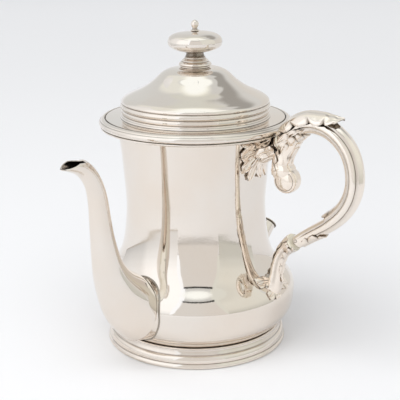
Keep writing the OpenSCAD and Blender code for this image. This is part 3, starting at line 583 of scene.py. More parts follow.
# the solder bead in the crease round the spout's root is painted darker: a dark joint with painted shade in the crease
bead("spout_root_solder", _r, 0.42, solder_mat, up=_out, slot="solder", stands_for=("spout_root_bead",), cavity=np.full(1600, 0.55))

# ---------------------------------------------------------------- filler
tilt = math.radians(42)


def filler_place(V):
    V = np.asarray(V, float)
    # local z goes along the filler, away from the body and up
    ax = np.array([-math.cos(tilt), 0, math.sin(tilt)])
    ux = np.array([math.sin(tilt), 0, math.cos(tilt)])
    uy = np.cross(ax, ux)
    return np.array([-65.5, 0, 35.2]) + V[:, :1] * ux + V[:, 1:2] * uy + V[:, 2:3] * ax


f_out = Line([(8.2, -1), (7.8, 8), (7.3, 16), (7.0, 25), (6.9, 33), (7.0, 37.6)]).points(0.7)
f_in = Line([(6.6, 39.15), (6.1, 37), (5.9, 30), (5.9, 20), (5.9, 10), (6.0, -1)]).points(1.2)
f_bead = [(7.1 + 0.7 * math.cos(a), 38.5 + 0.7 * math.sin(a)) for a in np.linspace(-PI * 0.62, PI * 0.75, 12)]
# the crease under the filler's mouth bead and the inside of its bore are painted dark: painted shade
lathe("filler_silver", [tuple(p) for p in f_out] + f_bead + [tuple(p) for p in f_in], bright, segments=96,
      turn=filler_place, sharp=45, slot="silver_bright", stands_for=("filler_spout",), cavity=lambda r, z: 0.9 if 37.2 < z < 38.4 and r > 6.5 else (0.8 if r < 6.62 else 0.0))

# ---------------------------------------------------------------- handle: places
X_AX = np.array([1.0, 0, 0])


class Sweep:
    """Surface round a line in the plane of the handle. Angle 0 faces outwards, 90 faces +X."""

    def __init__(self, pts, t_out, t_in, wide):
        self.line = Line(pts)
        self.t_out, self.t_in, self.wide = t_out, t_in, wide

    def frame(self, s):
        P = self.line(s)
        D = self.line.slope(s)
        D = D / np.linalg.norm(D, axis=-1, keepdims=True)
        over = s - self.line.length
        P = P + D * np.where(over > 0, over, np.where(s < 0, s, 0))[..., None]
        return P, D, np.stack([-D[..., 1], D[..., 0]], -1)

    def place(self, s, ang, h):
        P, D, U = self.frame(s)
        ca, sa = np.cos(np.radians(ang)), np.sin(np.radians(ang))
        t = np.where(ca > 0, self.t_out(s), self.t_in(s)) + h
        w = self.wide(s) + h
        v = P + U * (t * ca)[..., None]
        return np.stack([w * sa, v[..., 0], v[..., 1]], -1)


GRIP = [(72.6, 153.6), (76.5, 158.2), (81.5, 162.8), (87.5, 166.6), (94, 168.6), (101, 168.4), (107.5, 166.4), (113, 163.2),
        (117.8, 159), (121.6, 154), (124.3, 148), (125.9, 141), (126.1, 133.5), (124.6, 126), (121.4, 119), (116.5, 112.5),
        (110, 106.5), (102.5, 101), (94, 95.3), (85.5, 89)]
_thin = ease([(0, 0.92), (16, 1), (104, 1), (143, 0.88)])
SPUR = 112.5
grip = Sweep(GRIP, lambda s: 6.6 * _thin(s), lambda s: 5.9 * _thin(s) * (1 - 0.30 * step01(s, SPUR, SPUR + 3)),
             lambda s: 7.2 * _thin(s) * (1 - 0.06 * step01(s, SPUR, SPUR + 12)))
STEM = [(80.8, 158.2), (77.2, 152), (74.2, 146), (72.8, 140.5), (73.1, 135.8)]
stem = Sweep(STEM, lambda s: 6.2 + 0 * s, lambda s: 6.4 + 0 * s, lambda s: 6.3 + 0 * s)
SOCKET = [(63, 44), (66.2, 50), (68.2, 56.5), (69.2, 63), (70.3, 69.5), (72.6, 76), (76, 81.2), (80.6, 85.4), (84, 87.7)]
_sk = ease([(0, 6.4), (7, 5.8), (13.6, 5.0), (20, 4.4), (26.6, 4.1), (33.5, 4.1), (39.7, 4.5), (46, 5.2), (50, 5.4)])
socket = Sweep(SOCKET, lambda s: _sk(s), lambda s: _sk(s), lambda s: _sk(s) * 1.15)


def on_body(a, z, h):
    """a: millimetres round the neck from the handle's plane, towards the spout side; z: height; h: off the surface."""
    r = body_r(z)
    dr = (body_r(z + 0.5) - body_r(z - 0.5))
    k = np.sqrt(1 + dr * dr)
    rr = r + h / k
    zz = z - h * dr / k
    az = PI / 2 - a / r
    return np.stack([rr * np.cos(az), rr * np.sin(az), zz], -1)


def leaf(name, place, spine, half, lobes=3.0, notch=0.4, sweep=0.5, h0=None, amp=0.5, rib=0.35, curl=0.0, thick=1.0,
         nu=110, nv=18, phase=0.0, tip=0.0, mat=None, seed=0.0, frill=0.0, dark=1.0, skew=0.0, edge=(0.15, 0.75), under=0.62, **kw):
    """Closed, sculpted leaf. spine: points in the sheet of place(); half: ease pairs of half width by share of length.
    dark scales the painted shade on the top; under is the painted shade on the underside.
    """
    sp = Line(spine)
    W_ = ease(half)
    H_ = ease(h0 or [(0, 0.4), (1, 0.4)])
    u = np.linspace(0, 1, nu)
    v = np.linspace(-1, 1, 2 * nv + 1)
    U, V = np.meshgrid(u, v, indexing="ij")
    side = np.abs(V)
    sgn = np.sign(V)
    ph = lobes * U + phase + 0.17 * sgn * skew + 0.06 * np.sin(7 * U + seed)
    m = np.abs(np.sin(PI * ph)) ** 0.55
    env = W_(U)
    fade = step01(U, 0.0, 0.06)
    W = env * (1 - notch * (1 - m) * fade)
    W = W + frill * env * 0.08 * np.sin(34 * U + seed * 3) * side
    W = np.maximum(W, 0.03)
    C = sp(U * sp.length)
    T = sp.slope(U * sp.length)
    T /= np.linalg.norm(T, axis=-1, keepdims=True)
    Nn = np.stack([-T[..., 1], T[..., 0]], -1)
    A = C + T * (sweep * side**1.6 * W)[..., None] + Nn * (V * W)[..., None]
    vein = np.exp(-((side - 0.02) / 0.09) ** 2)
    chan = np.exp(-((side - 0.24) / 0.10) ** 2)
    H = H_(U) + rib * vein - 0.6 * rib * chan + amp * (m - 0.55) * step01(side, *edge)
    H = H + curl * side**3 * (0.4 + 0.6 * m) + tip * step01(U, 0.72, 1.0) ** 1.5
    H = H + frill * 0.35 * np.sin(26 * U + 2.0 * sgn + seed * 5) * side**2
    H = H - 0.25 * amp * step01(side, 0.85, 1.0)
    th = thick * (1 - 0.62 * side**3) * (1 - 0.35 * step01(U, 0.8, 1.0))
    top = place(A[..., 0], A[..., 1], H)
    bot = place(A[..., 0], A[..., 1], np.minimum(H - th, H - 0.25))
    # the top of each leaf is painted darker in the notches between lobes, along the channel beside the rib and along
    # the edge: painted shade in the creases, with some tarnish
    shade_and_tarnish_top = 0.9 * (1 - m) ** 2.2 * step01(side, edge[0], edge[1] * 0.95) * fade + 0.16 * chan + 0.25 * np.exp(-((side - 1.0) / 0.05) ** 2)
    shade_and_tarnish_top = dark * shade_and_tarnish_top
    n, q = nu, 2 * nv + 1
    Vs = np.concatenate([top.reshape(-1, 3), bot.reshape(-1, 3)])
    # the whole underside of each leaf is painted at the darkness under: painted shade under the leaf
    cav = np.concatenate([shade_and_tarnish_top.ravel(), np.full(n * q, under)])
    F = grid_faces(n, q) + grid_faces(n, q, base=n * q, flip=True)
    k = n * q
    for i in range(n - 1):
        a, b = i * q, (i + 1) * q
        F.append((a, b, b + k, a + k))
        a, b = i * q + q - 1, (i + 1) * q + q - 1
        F.append((b, a, a + k, b + k))
    for j in range(q - 1):
        F.append((j + 1, j, j + k, j + 1 + k))
        e = (n - 1) * q + j
        F.append((e, e + 1, e + 1 + k, e + k))
    return build(name, Vs, F, mat or cast, cavity=cav, sharp=62, slot="silver_cast", **kw)


# ---------------------------------------------------------------- handle: grip
def band_angles():
    """Angles round the grip, close together in its grooves, and how deep each point lies."""
    marks = [-52, 52, 98, 262, 308]
    A, D = [], []
    for i, a0 in enumerate(marks):
        a1 = marks[(i + 1) % len(marks)]
        if a1 < a0:
            a1 += 360
        k = {0: 26, 1: 14, 2: 34, 3: 14, 4: 0}[i] if i < 4 else 0
        if i == 4:
            break
        for j in range(k):
            t = j / k
            e = 0.5 - 0.5 * math.cos(PI * t)
            A.append(a0 + (a1 - a0) * e)
            D.append(math.sin(PI * e) ** 0.42)
    return np.array(A), np.array(D)


def grip_piece():
    A, D = band_angles()
    g0, g1 = 1.6, grip.line.length - 2.0
    s = np.linspace(0.0, grip.line.length, 330)
    rings, cav = [], []
    up = np.array([71.6, 153.2]), np.array([math.cos(math.radians(28)), math.sin(math.radians(28))])
    lo = np.array([82, 86.4]), np.array([math.cos(math.radians(34)), math.sin(math.radians(34))])
    for si in s:
        ends = min(step01(si, 2, 9), step01(grip.line.length - si, 3, 12))
        depth = 0.105 * float(ends) + 0.02
        h = -(1 - D) * depth * 6.3 / 0.6
        h = np.maximum(h, -1.25)
        R = grip.place(np.full(len(A), si), A, h)
        rings.append(R)
        # the grip's grooves are painted dark: painted shade in the grooves, with some tarnish
        cav.append(np.clip((1 - D) ** 1.7 * 0.95, 0, 1) * float(ends))
    R = np.array(rings)
    # the ends stand square to the joints, against the washers
    for i in range(len(R)):
        for (at, d), sg in ((up, 1), (lo, 1)):
            off = (R[i][:, 1] - at[0]) * d[0] + (R[i][:, 2] - at[1]) * d[1]
            if (sg and i < 60) and at[1] > 120 or (i > 270 and at[1] < 120):
                short = np.minimum(off - 0.92, 0)
                R[i][:, 1] -= short * d[0]
                R[i][:, 2] -= short * d[1]
    return loft("grip_silver", R, cast, cavity=cav, weld=0.02, sharp=50, slot="silver_cast", stands_for=("handle_grip",))


grip_piece()

# spur where the inner ridge of the grip ends
leaf("grip_spur", lambda a, b, h: grip.place(a, 180 + b / 5.6 * 57.3, h), [(SPUR - 14, 0), (SPUR - 6, 0), (SPUR + 3.4, 0)],
     [(0, 1.0), (0.3, 4.4), (0.75, 4.6), (0.92, 2.6), (1, 0.3)], lobes=1.0, phase=0.5, notch=0, sweep=0.3, h0=[(0, -0.1), (0.5, 0.35), (0.85, 0.9), (1, 2.4)], amp=0.1,
     rib=0.1, thick=1.5, nu=60, nv=10)

# acanthus leaf over the top of the grip
leaf("grip_top_leaf_silver", lambda a, b, h: grip.place(a, b / 6.4 * 57.3, h), [(1.5, 0), (16, 0), (30, 0), (44.2, 0)],
     [(0, 6.0), (0.12, 8.8), (0.35, 9.6), (0.6, 9.2), (0.8, 7.4), (0.93, 4.2), (1, 0.5)], lobes=4.3, phase=0.62, notch=0.25, sweep=0.42,
     h0=[(0, 1.8), (0.16, 2.7), (0.45, 2.7), (0.68, 2.6), (0.83, 3.4), (0.93, 4.6), (1, 6.2)], amp=1.3, rib=0.35, curl=-0.7, thick=1.7, nu=170, nv=26, seed=0.4, frill=0.12,
     edge=(0.58, 0.94), dark=1.15, under=0.9, stands_for=("grip_top_leaf",))
# second leaf under it, lying along the side
for sg in (1, -1):
    leaf("grip_side_leaf_" + ("a" if sg > 0 else "b"), lambda a, b, h, sg=sg: grip.place(a, sg * (b / 6.4 * 57.3), h),
         [(0, 9.0), (9, 12.4), (16, 13.0), (23.5, 12.2)], [(0, 3.2), (0.3, 4.0), (0.7, 3.2), (1, 0.3)], lobes=2.6, notch=0.4, sweep=0.5,
         h0=[(0, 0.5), (0.5, 0.6), (1, 0.5)], amp=0.7, rib=0.2, curl=0.4, thick=1.2, nu=70, nv=12, seed=2.0, frill=0.2, dark=0.8)
# knuckle of leaves under the grip, over the head of the scroll
leaf("knuckle_leaf", lambda a, b, h: grip.place(a, 180 + b / 5.6 * 57.3, h), [(-1, 0), (8, 0), (15, 0), (22.5, 0)],
     [(0, 5.5), (0.3, 7.4), (0.6, 6.4), (0.85, 4.2), (1, 0.4)], lobes=3.2, phase=0.3, notch=0.34, sweep=0.5,
     h0=[(0, 2.6), (0.4, 2.9), (0.7, 1.9), (1, 0.7)], amp=1.0, rib=0.6, curl=-0.2, thick=2.8, nu=90, nv=16, seed=1.2, frill=0.35)

# ---------------------------------------------------------------- handle: scroll
def scroll_piece():
    n = 56
    L = stem.line.length
    S = np.concatenate([np.linspace(0, L, 60), L + 8.3 * np.sin(np.linspace(0, PI / 2, 22)[1:])])
    rings, cav = [], []
    ang = np.linspace(0, 360, n, endpoint=False)
    for s in S:
        e = max(0.0, (s - L) / 8.3)
        k = math.sqrt(max(0.0, 1 - e * e)) if e < 1 else 0.0
        k = max(k, 0.02)
        base_t = float(ease([(0, 6.0), (12, 5.9), (20, 6.4), (L, 8.0)])(s))
        base_w = float(ease([(0, 6.2), (12, 6.0), (20, 6.6), (L, 7.3)])(s))
        P, D, U = stem.frame(np.array([s]))
        ca, sa = np.cos(np.radians(ang)), np.sin(np.radians(ang))
        # rounded square section
        q = (np.abs(ca) ** 2.6 + np.abs(sa) ** 2.6) ** (-1 / 2.6)
        v = P[0] + U[0] * (base_t * k * q * ca)[:, None]
        rings.append(np.stack([base_w * (0.55 + 0.45 * k) * (k ** 0.35) * q * sa, v[:, 0], v[:, 1]], -1))
        cav.append(np.zeros(n))
    return loft("scroll_stem_silver", rings, cast, cavity=cav, sharp=60, slot="silver_cast", stands_for=("handle_scroll",))


scroll_piece()


def volute_place(V):
    V = np.asarray(V, float)
    return np.stack([V[:, 2], 76.4 + V[:, 0], 129 + V[:, 1]], -1)


vol = [(0, -6.4), (2.6, -6.3), (4.6, -5.9), (6.0, -5.2), (6.5, -4.7), (6.75, -4.5), (7.1, -4.75), (7.7, -4.5), (8.4, -3.6), (8.8, -2), (8.8, 2),
       (8.4, 3.6), (7.7, 4.5), (7.1, 4.75), (6.75, 4.5), (6.5, 4.7), (6.0, 5.2), (4.6, 5.9), (2.6, 6.3), (0, 6.4)]
# the volute's groove near r 6.75 is painted dark: painted shade in the groove
lathe("scroll_volute_silver", soft(vol, 0.5, 3), cast, segments=96, turn=volute_place, sharp=60, slot="silver_cast", stands_for=("scroll_volute",),
      cavity=lambda r, z: 0.85 if 6.55 < r < 6.95 else 0)

# leaf on the neck side of the scroll, its lobes turned round to both sides
leaf("scroll_leaf_silver", lambda a, b, h: stem.place(a, 180 + b / 6.3 * 57.3, h), [(5, 0), (12, 0), (18, 0), (27, 0)],
     [(0, 7.0), (0.25, 9.4), (0.6, 9.0), (0.85, 5.6), (1, 0.6)], lobes=3.6, phase=0.1, notch=0.4, sweep=0.5,
     h0=[(0, 0.9), (0.5, 1.0), (1, 1.4)], amp=1.0, rib=0.4, curl=0.5, thick=1.4, nu=110, nv=20, seed=3.1, frill=0.5, stands_for=("scroll_leaf",))
# narrow leaf down the open side of the scroll
leaf("scroll_front_leaf", lambda a, b, h: stem.place(a, b / 6.2 * 57.3, h), [(3, 0), (9, 0), (14, 0), (18.5, 0)],
     [(0, 4.0), (0.4, 5.4), (0.8, 4.4), (1, 0.4)], lobes=1.0, phase=0.5, notch=0, sweep=0.3, h0=[(0, 0.3), (1, 0.5)], amp=0.2, rib=0.3, thick=0.8, nu=60, nv=12)

# ---------------------------------------------------------------- handle: joints
def axis_place(at, deg):
    d = math.radians(deg)
    D = np.array([0, math.cos(d), math.sin(d)])
    U = np.array([0, -math.sin(d), math.cos(d)])

    def f(V):
        V = np.asarray(V, float)
        return np.array([0, at[0], at[1]]) + V[:, :1] * X_AX + V[:, 1:2] * U + V[:, 2:3] * D

    return f


at_up, at_lo = axis_place((71.6, 153.2), 28), axis_place((82, 86.4), 34)
# the outer corners of each washer's faces are painted darker: painted shade between the washer and its socket
for nm, pl, r, node in (("upper_washer_bone", at_up, 6.5, "upper_washer"), ("lower_washer_bone", at_lo, 6.2, "lower_washer")):
    lathe(nm, soft([(2.25, 0.88), (r - 0.5, 0.88), (r, 0.5), (r, -0.5), (r - 0.5, -0.88), (2.25, -0.88), (2.25, 0.88)], 0.3)[:-1], bone, segments=96, turn=pl,
          sharp=50, slot="bone_white", stands_for=(node,), cavity=lambda rr, z, r=r: 0.35 if abs(z) > 0.75 and rr > r - 0.6 else 0)

# the socket is painted darker along its length and only faintly near the washer: painted shadow under the rim
lathe("upper_socket_silver", [(0, -19)] + soft([(7.0, -19), (6.6, -15), (5.8, -10), (5.2, -6), (5.4, -3.4), (6.2, -2.4), (6.3, -0.92)], 0.7) + [(0, -0.92)], cast,
      segments=96, turn=at_up, sharp=50, slot="silver_cast", stands_for=("upper_socket",), cavity=lambda r, z: 0.45 if z < -2.6 else 0.15)

for k_, a_ in enumerate((-12, 50, 118, 180, 236, 300)):
    leaf("upper_socket_leaf_" + "abcdef"[k_], lambda a, b, h, a_=a_: at_up(np.stack([(6.3 + h) * np.cos(math.radians(a_) + b / 6.6), (6.3 + h) * np.sin(math.radians(a_) + b / 6.6), a], -1).reshape(-1, 3)).reshape(*a.shape, 3),
         [(-18.6, 0), (-12, 0.3), (-7, -0.2), (-2.9, 0.2)], [(0, 2.6), (0.35, 4.0), (0.7, 3.3), (0.9, 1.8), (1, 0.3)], lobes=2.2, phase=0.25 * (k_ % 2), notch=0.3, sweep=0.5,
         h0=[(0, 0.9), (0.4, 0.5), (0.8, 0.9), (1, 1.9)], amp=0.6, rib=0.35, curl=0.2, thick=1.2, nu=60, nv=12, seed=k_ * 1.7, frill=0.15, dark=0.8)

# leaves on the neck under the upper joint: (name, spine in (round, height), half widths, lobes, seed)
ROOT_UP = [
    ("a", [(2.5, 149.5), (9, 152.4), (18.5, 153.4)], [(0, 2.4), (0.4, 4.4), (0.8, 2.8), (1, 0.3)], 2.1, 0.3),
    ("b", [(2.0, 147.5), (9, 147.0), (17.8, 143.4)], [(0, 2.8), (0.45, 6.0), (0.8, 3.9), (1, 0.3)], 1.5, 1.1),
    ("c", [(1.5, 145.5), (7, 141.0), (15.6, 134.4)], [(0, 2.6), (0.45, 5.2), (0.8, 3.4), (1, 0.3)], 1.5, 2.2),
    ("d", [(0.8, 144.0), (4.4, 136.4), (9.6, 126.6)], [(0, 2.6), (0.45, 4.8), (0.8, 3.0), (1, 0.3)], 1.5, 3.3),
    ("e", [(0, 143.0), (-0.6, 136), (-4.2, 126.2)], [(0, 2.6), (0.45, 4.6), (0.8, 2.8), (1, 0.3)], 1.5, 4.4),
]
first = True
for sg in (1, -1):
    for k, (nm, spn, hw, lb, sd) in enumerate(ROOT_UP):
        if sg < 0 and nm == "e":
            spn = [(0.4, 143.5), (3.4, 138), (8.8, 133.5)]
        leaf("upper_root_leaf_%s%s" % (nm, "" if sg > 0 else "_far"), lambda a, b, h, sg=sg: on_body(sg * a, b, h), spn, hw, lobes=lb, phase=0.3, notch=0.2, sweep=0.45, dark=0.75,
             h0=[(0, 3.2), (0.3, 2.2), (0.7, 1.5), (1, 1.2 + 0.5 * (k % 2))], amp=0.55, rib=0.7, curl=0.1, thick=1.5, nu=70, nv=13, seed=sd, frill=0.12,
             stands_for=("upper_root_leaf",) if first else ())
        first = False
# the boss that the leaves grow from
def dome(name, place, cx, cz, rx, rz, h, mat, dark=0.3, stands_for=()):
    nr, na = 14, 64
    V, cav, F = [], [], []
    for side_h in (0, 1):
        for i in range(nr):
            r = i / (nr - 1)
            for j in range(na):
                a = 2 * PI * j / na
                w = 1 + 0.06 * math.cos(7 * a)
                hh = (h * math.sqrt(max(0, 1 - r * r)) + 0.1) if not side_h else -0.4
                V.append((cx + rx * r * w * math.cos(a), cz + rz * r * w * math.sin(a), hh))
                # each boss is painted darker towards its edge, where it meets the body: painted shade
                cav.append(dark * (0.4 + r * 0.6))
    V = np.array(V)
    P = place(V[:, 0], V[:, 1], V[:, 2])
    F = grid_faces(nr, na, wrap=True) + grid_faces(nr, na, base=nr * na, wrap=True, flip=True)
    k = nr * na
    for j in range(na):
        a, b = (nr - 1) * na + j, (nr - 1) * na + (j + 1) % na
        F.append((a, b, b + k, a + k))
    return build(name, P, F, mat, cavity=cav, weld=0.01, sharp=60, slot="silver_cast", stands_for=stands_for)


dome("upper_boss", on_body, 0, 147.5, 8.2, 7.6, 3.6, cast, dark=0.7)

# lower socket, from the belly up to its washer
def socket_piece():
    n = 48
    L = socket.line.length
    ang = np.linspace(0, 360, n, endpoint=False)
    at, d = np.array([82, 86.4]), np.array([math.cos(math.radians(34)), math.sin(math.radians(34))])
    rings, cav = [], []
    for s in np.linspace(0, L + 3, 120):
        flute = 0.28 * np.cos(np.radians(ang * 5)) * float(step01(s, 8, 16)) * float(1 - step01(s, L - 12, L - 6))
        R = socket.place(np.full(n, s), ang, flute)
        off = (R[:, 1] - at[0]) * d[0] + (R[:, 2] - at[1]) * d[1]
        over = np.maximum(off + 0.92, 0)
        R[:, 1] -= over * d[0]
        R[:, 2] -= over * d[1]
        rings.append(R)
        # the hollows of the flutes are painted darker: painted shade in the flutes
        cav.append(np.clip(-flute * 1.3, 0, 1))
    return loft("lower_socket_silver", rings, cast, cavity=cav, weld=0.01, sharp=50, slot="silver_cast", stands_for=("lower_socket",))


socket_piece()
leaf("lower_socket_leaf_silver", lambda a, b, h: socket.place(a, 180 + b / 5.0 * 57.3, h), [(14, 0), (26, 0), (38, 0), (47.5, 0)],
     [(0, 0.6), (0.2, 3.6), (0.5, 5.0), (0.8, 6.6), (1, 6.0)], lobes=5.2, phase=0.2, notch=0.36, sweep=0.5, h0=[(0, 0.3), (0.6, 0.6), (1, 0.8)], amp=0.7, rib=0.3,
     curl=0.4, thick=1.1, nu=120, nv=14, seed=0.9, frill=0.4)
leaf("lower_socket_outer_leaf", lambda a, b, h: socket.place(a, b / 5.0 * 57.3, h), [(20, 0), (30, 0), (40, 0), (46.8, 0)],
     [(0, 0.5), (0.3, 3.4), (0.7, 5.2), (1, 5.6)], lobes=3.6, phase=0.2, notch=0.36, sweep=0.5, h0=[(0, 0.3), (0.6, 0.5), (1, 0.7)], amp=0.6, rib=0.3,
     curl=0.2, thick=1.0, nu=90, nv=14, seed=1.9, frill=0.2, stands_for=("lower_socket_leaf",))

# leaf under the lower end of the grip
leaf("grip_tail_leaf_silver", lambda a, b, h: grip.place(a, b / 6.0 * 57.3, h), [(141.5, 0), (136, 0), (129, 0), (121.6, 0)],
     [(0, 6.6), (0.2, 8.4), (0.5, 7.2), (0.75, 4.8), (0.92, 2.8), (1, 0.5)], lobes=2.6, phase=0.25, notch=0.34, sweep=0.5, edge=(0.4, 0.9),
     h0=[(0, 0.5), (0.5, 0.7), (0.8, 0.8), (1, 1.3)], amp=0.9, rib=0.4, curl=-0.1, thick=1.5, nu=110, nv=18, seed=0.7, frill=0.25, stands_for=("grip_tail_leaf",))

# leaves on the belly at the foot of the lower socket
ROOT_LO = [
    ("a", [(1.5, 53.5), (6, 55.0), (13.0, 55.2)], [(0, 2.2), (0.45, 3.8), (0.8, 3.0), (1, 0.3)]),
    ("b", [(1.0, 51.0), (4.5, 48.0), (9.6, 46.6)], [(0, 2.0), (0.45, 3.2), (0.8, 2.4), (1, 0.3)]),
    ("c", [(-1.0, 51.0), (-8, 50.5), (-18.8, 47.5)], [(0, 2.4), (0.4, 4.0), (0.8, 3.0), (1, 0.3)]),
    ("d", [(0, 50.0), (0.6, 47.5), (0.8, 43.6)], [(0, 2.2), (0.45, 3.6), (0.8, 2.8), (1, 0.3)]),
    ("e", [(-1.5, 54.0), (-7, 56.5), (-12.5, 58.0)], [(0, 2.0), (0.45, 3.2), (0.8, 2.4), (1, 0.3)]),
]
for k, (nm, spn, hw) in enumerate(ROOT_LO):
    leaf("lower_root_leaf_" + nm, on_body, spn, hw, lobes=1.6, phase=0.3, notch=0.3, sweep=0.5, h0=[(0, 2.6), (0.4, 1.8), (1, 0.9)], amp=0.6, rib=0.4, curl=-0.1,
         thick=1.6, nu=56, nv=12, seed=k * 1.3, frill=0.15, stands_for=("lower_root_leaf",) if k == 0 else ())
dome("lower_boss", on_body, 0, 52.0, 6.6, 6.2, 2.6, cast, dark=0.35)

# rosettes over the ends of the lower pin
for sg in (1, -1):
    def ros(V, sg=sg):
        V = np.asarray(V, float)
        d = math.radians(34)
        c = np.array([82 + 6 * math.cos(d), 86.4 + 6 * math.sin(d)])
        return np.stack([sg * (5.3 + V[:, 2]), c[0] + V[:, 0], c[1] + V[:, 1]], -1)
    V, F = lathe_parts(soft([(0, -0.6), (1.5, -0.6), (1.6, 0.5), (1.1, 1.0), (0.9, 0.8), (0.5, 1.15), (0, 1.2)], 0.15, 2), 40)
    V = np.array([(x * (1 + 0.1 * math.cos(6 * math.atan2(y, x))), y * (1 + 0.1 * math.cos(6 * math.atan2(y, x))), z) for x, y, z in V])
    # each rosette's ring groove is painted dark: painted shade in the groove
    build("lower_rosette_" + ("a" if sg > 0 else "b"), ros(V), F, cast, slot="silver_cast", cavity=[0.6 if 0.7 < math.hypot(x, y) < 1.2 else 0.05 for x, y, z in V], sharp=60)

# ---------------------------------------------------------------- carried-over CAD nodes
SLOT_OF = {}
for m_ in frame["record"].get("materials", []):
    SLOT_OF[m_.get("slot")] = m_
DULL = {"bottom_plate": "silver_plain", "inner_liner": "silver_plain", "transfer_tube": "silver_plain", "strainer_plate": "silver_plain",
        "upper_tenon": "silver_plain", "lower_tenon": "silver_plain", "knob_stud": "silver_plain", "knob_washer": "silver_plain",
        "knob_nut": "silver_plain", "filler_root_bead": "solder"}
for name, o in frame["nodes"].items():
    if o.hide_render:
        continue
    s_ = DULL.get(name, "silver_cast")
    if not o.data.materials:
        o.data.materials.append(SLOT[s_])
    for ms in o.material_slots:
        ms.material = SLOT[s_]

# ---------------------------------------------------------------- studio
c37, s37 = math.cos(math.radians(37)), math.sin(math.radians(37))


def cam_frame(x, y, z):
    """x to the camera's right, y away from it, z up, from the foot's centre, in millimetres."""
    return (-s37 * x - c37 * y, c37 * x - s37 * y, z)


def light_mat(name, colour, strength):
    m = bpy.data.materials.new(name)
    m.use_nodes = True
    t = m.node_tree
    t.nodes.clear()
    out = t.nodes.new("ShaderNodeOutputMaterial")
    e = t.nodes.new("ShaderNodeEmission")
    e.inputs["Color"].default_value = (*colour, 1)
    e.inputs["Strength"].default_value = strength
    t.links.new(e.outputs[0], out.inputs[0])
    return m


def only_reflected(o):
    o.visible_camera = False
    o.visible_shadow = False
    o.visible_diffuse = False


def round_(az, el, dist):
    """Point at azimuth az (0 towards the camera, + to its right) and elevation el, seen from the shoulder of the pot."""
    a, e = math.radians(az), math.radians(el)
    return cam_frame(dist * math.sin(a), -dist * math.cos(a), 55 + math.tan(e) * (dist - 58))


def board(name, edges, mat, dist, n=24):
    """Upright curved board. edges: (elevation, azimuth of its left side, azimuth of its right side)."""
    V, F = [], []
    rows = Line([(a, b) for e, a, b in edges], keys=[e for e, a, b in edges])
    els = np.linspace(edges[0][0], edges[-1][0], 20)
    for e in els:
        a, b = rows(e)
        for k in range(n + 1):
            V.append(round_(a + (b - a) * k / n, e, dist))
    F = grid_faces(len(els), n + 1)
    me = bpy.data.meshes.new(name)
    me.from_pydata((np.array(V) * MM).tolist(), [], F)
    me.materials.append(mat)
    o = bpy.data.objects.new(name, me)
    bpy.context.scene.collection.objects.link(o)
    only_reflected(o)
    return o


def toned(name, els, azs, dist, tone):
    """Upright curved board whose brightness varies: tone(azimuth, elevation) gives its colour."""
    V, C = [], []
    for e in els:
        for a in azs:
            V.append(round_(a, e, dist))
            C.append((*tone(a, e), 1.0))
    V = np.array(V)
    V[:, 2] = np.maximum(V[:, 2], 1.5)
    me = bpy.data.meshes.new(name)
    me.from_pydata((V * MM).tolist(), [], grid_faces(len(els), len(azs)))
    at = me.attributes.new("tone", "FLOAT_COLOR", "POINT")
    at.data.foreach_set("color", np.array(C, np.float32).ravel())
    m = light_mat(name, (1, 1, 1), 1.0)
    t = m.node_tree
    n = t.nodes.new("ShaderNodeAttribute")
    n.attribute_name = "tone"
    t.links.new(n.outputs["Color"], [q for q in t.nodes if q.type == "EMISSION"][0].inputs["Color"])
    me.materials.append(m)
    o = bpy.data.objects.new(name, me)
    bpy.context.scene.collection.objects.link(o)
    only_reflected(o)


GREY = np.array([1.0, 0.975, 0.955])
COOL = np.array([0.985, 1.0, 1.02])


def tone_left(a, e):
    far = ease([(-128, 0.74), (-104, 0.82), (-88, 0.84), (-74, 1.0), (-60, 1.03), (-28, 1.02)])(a)
    k = ease([(-7, 0.86), (0, 1.04), (10, 1.16), (24, 1.25), (60, 1.27)])(e) * far
    return (np.array([0.76, 0.70, 0.62]) if e < -6.3 else COOL) * float(k)


def tone_right(a, e):
    k = ease([(-8, 0.68), (0, 0.70), (8, 0.79), (24, 0.88), (45, 0.90), (62, 0.80)])(e)
    return np.array([1.0, 1.02, 0.97]) * float(k) * (0.75 if e < -4.9 else 1.0)


def line_at(lo, hi):
    return np.unique(np.concatenate([np.linspace(lo, hi, 30), [lo + 0.5, lo + 0.9, lo + 1.0]]))


# the board towards the camera, with a dark gap above it
board("tent_centre", [(-4.5, -27.8, 33), (3, -24.6, 31), (20, -23, 29.6), (42, -21.8, 28.3), (55.7, -22.2, 28)], light_mat("tent_grey", (0.84, 0.825, 0.81), 1.0), 650)
board("tent_centre_foot", [(-5.3, -28.5, 33.5), (-4.9, -28.2, 33.3), (-4.5, -27.8, 33)], light_mat("tent_line", (0.84, 0.825, 0.81), 0.72), 650)
board("tent_gap", [(55.7, -22.2, 28), (56.7, -22.2, 28), (57.8, -22.2, 28)], light_mat("tent_black", (1.0, 1.0, 1.0), 0.03), 650)
toned("tent_left", line_at(-6.9, 60), np.linspace(-128, -27.6, 80), 510, tone_left)
toned("tent_right", line_at(-5.8, 56), np.linspace(33.6, 92, 40), 600, tone_right)


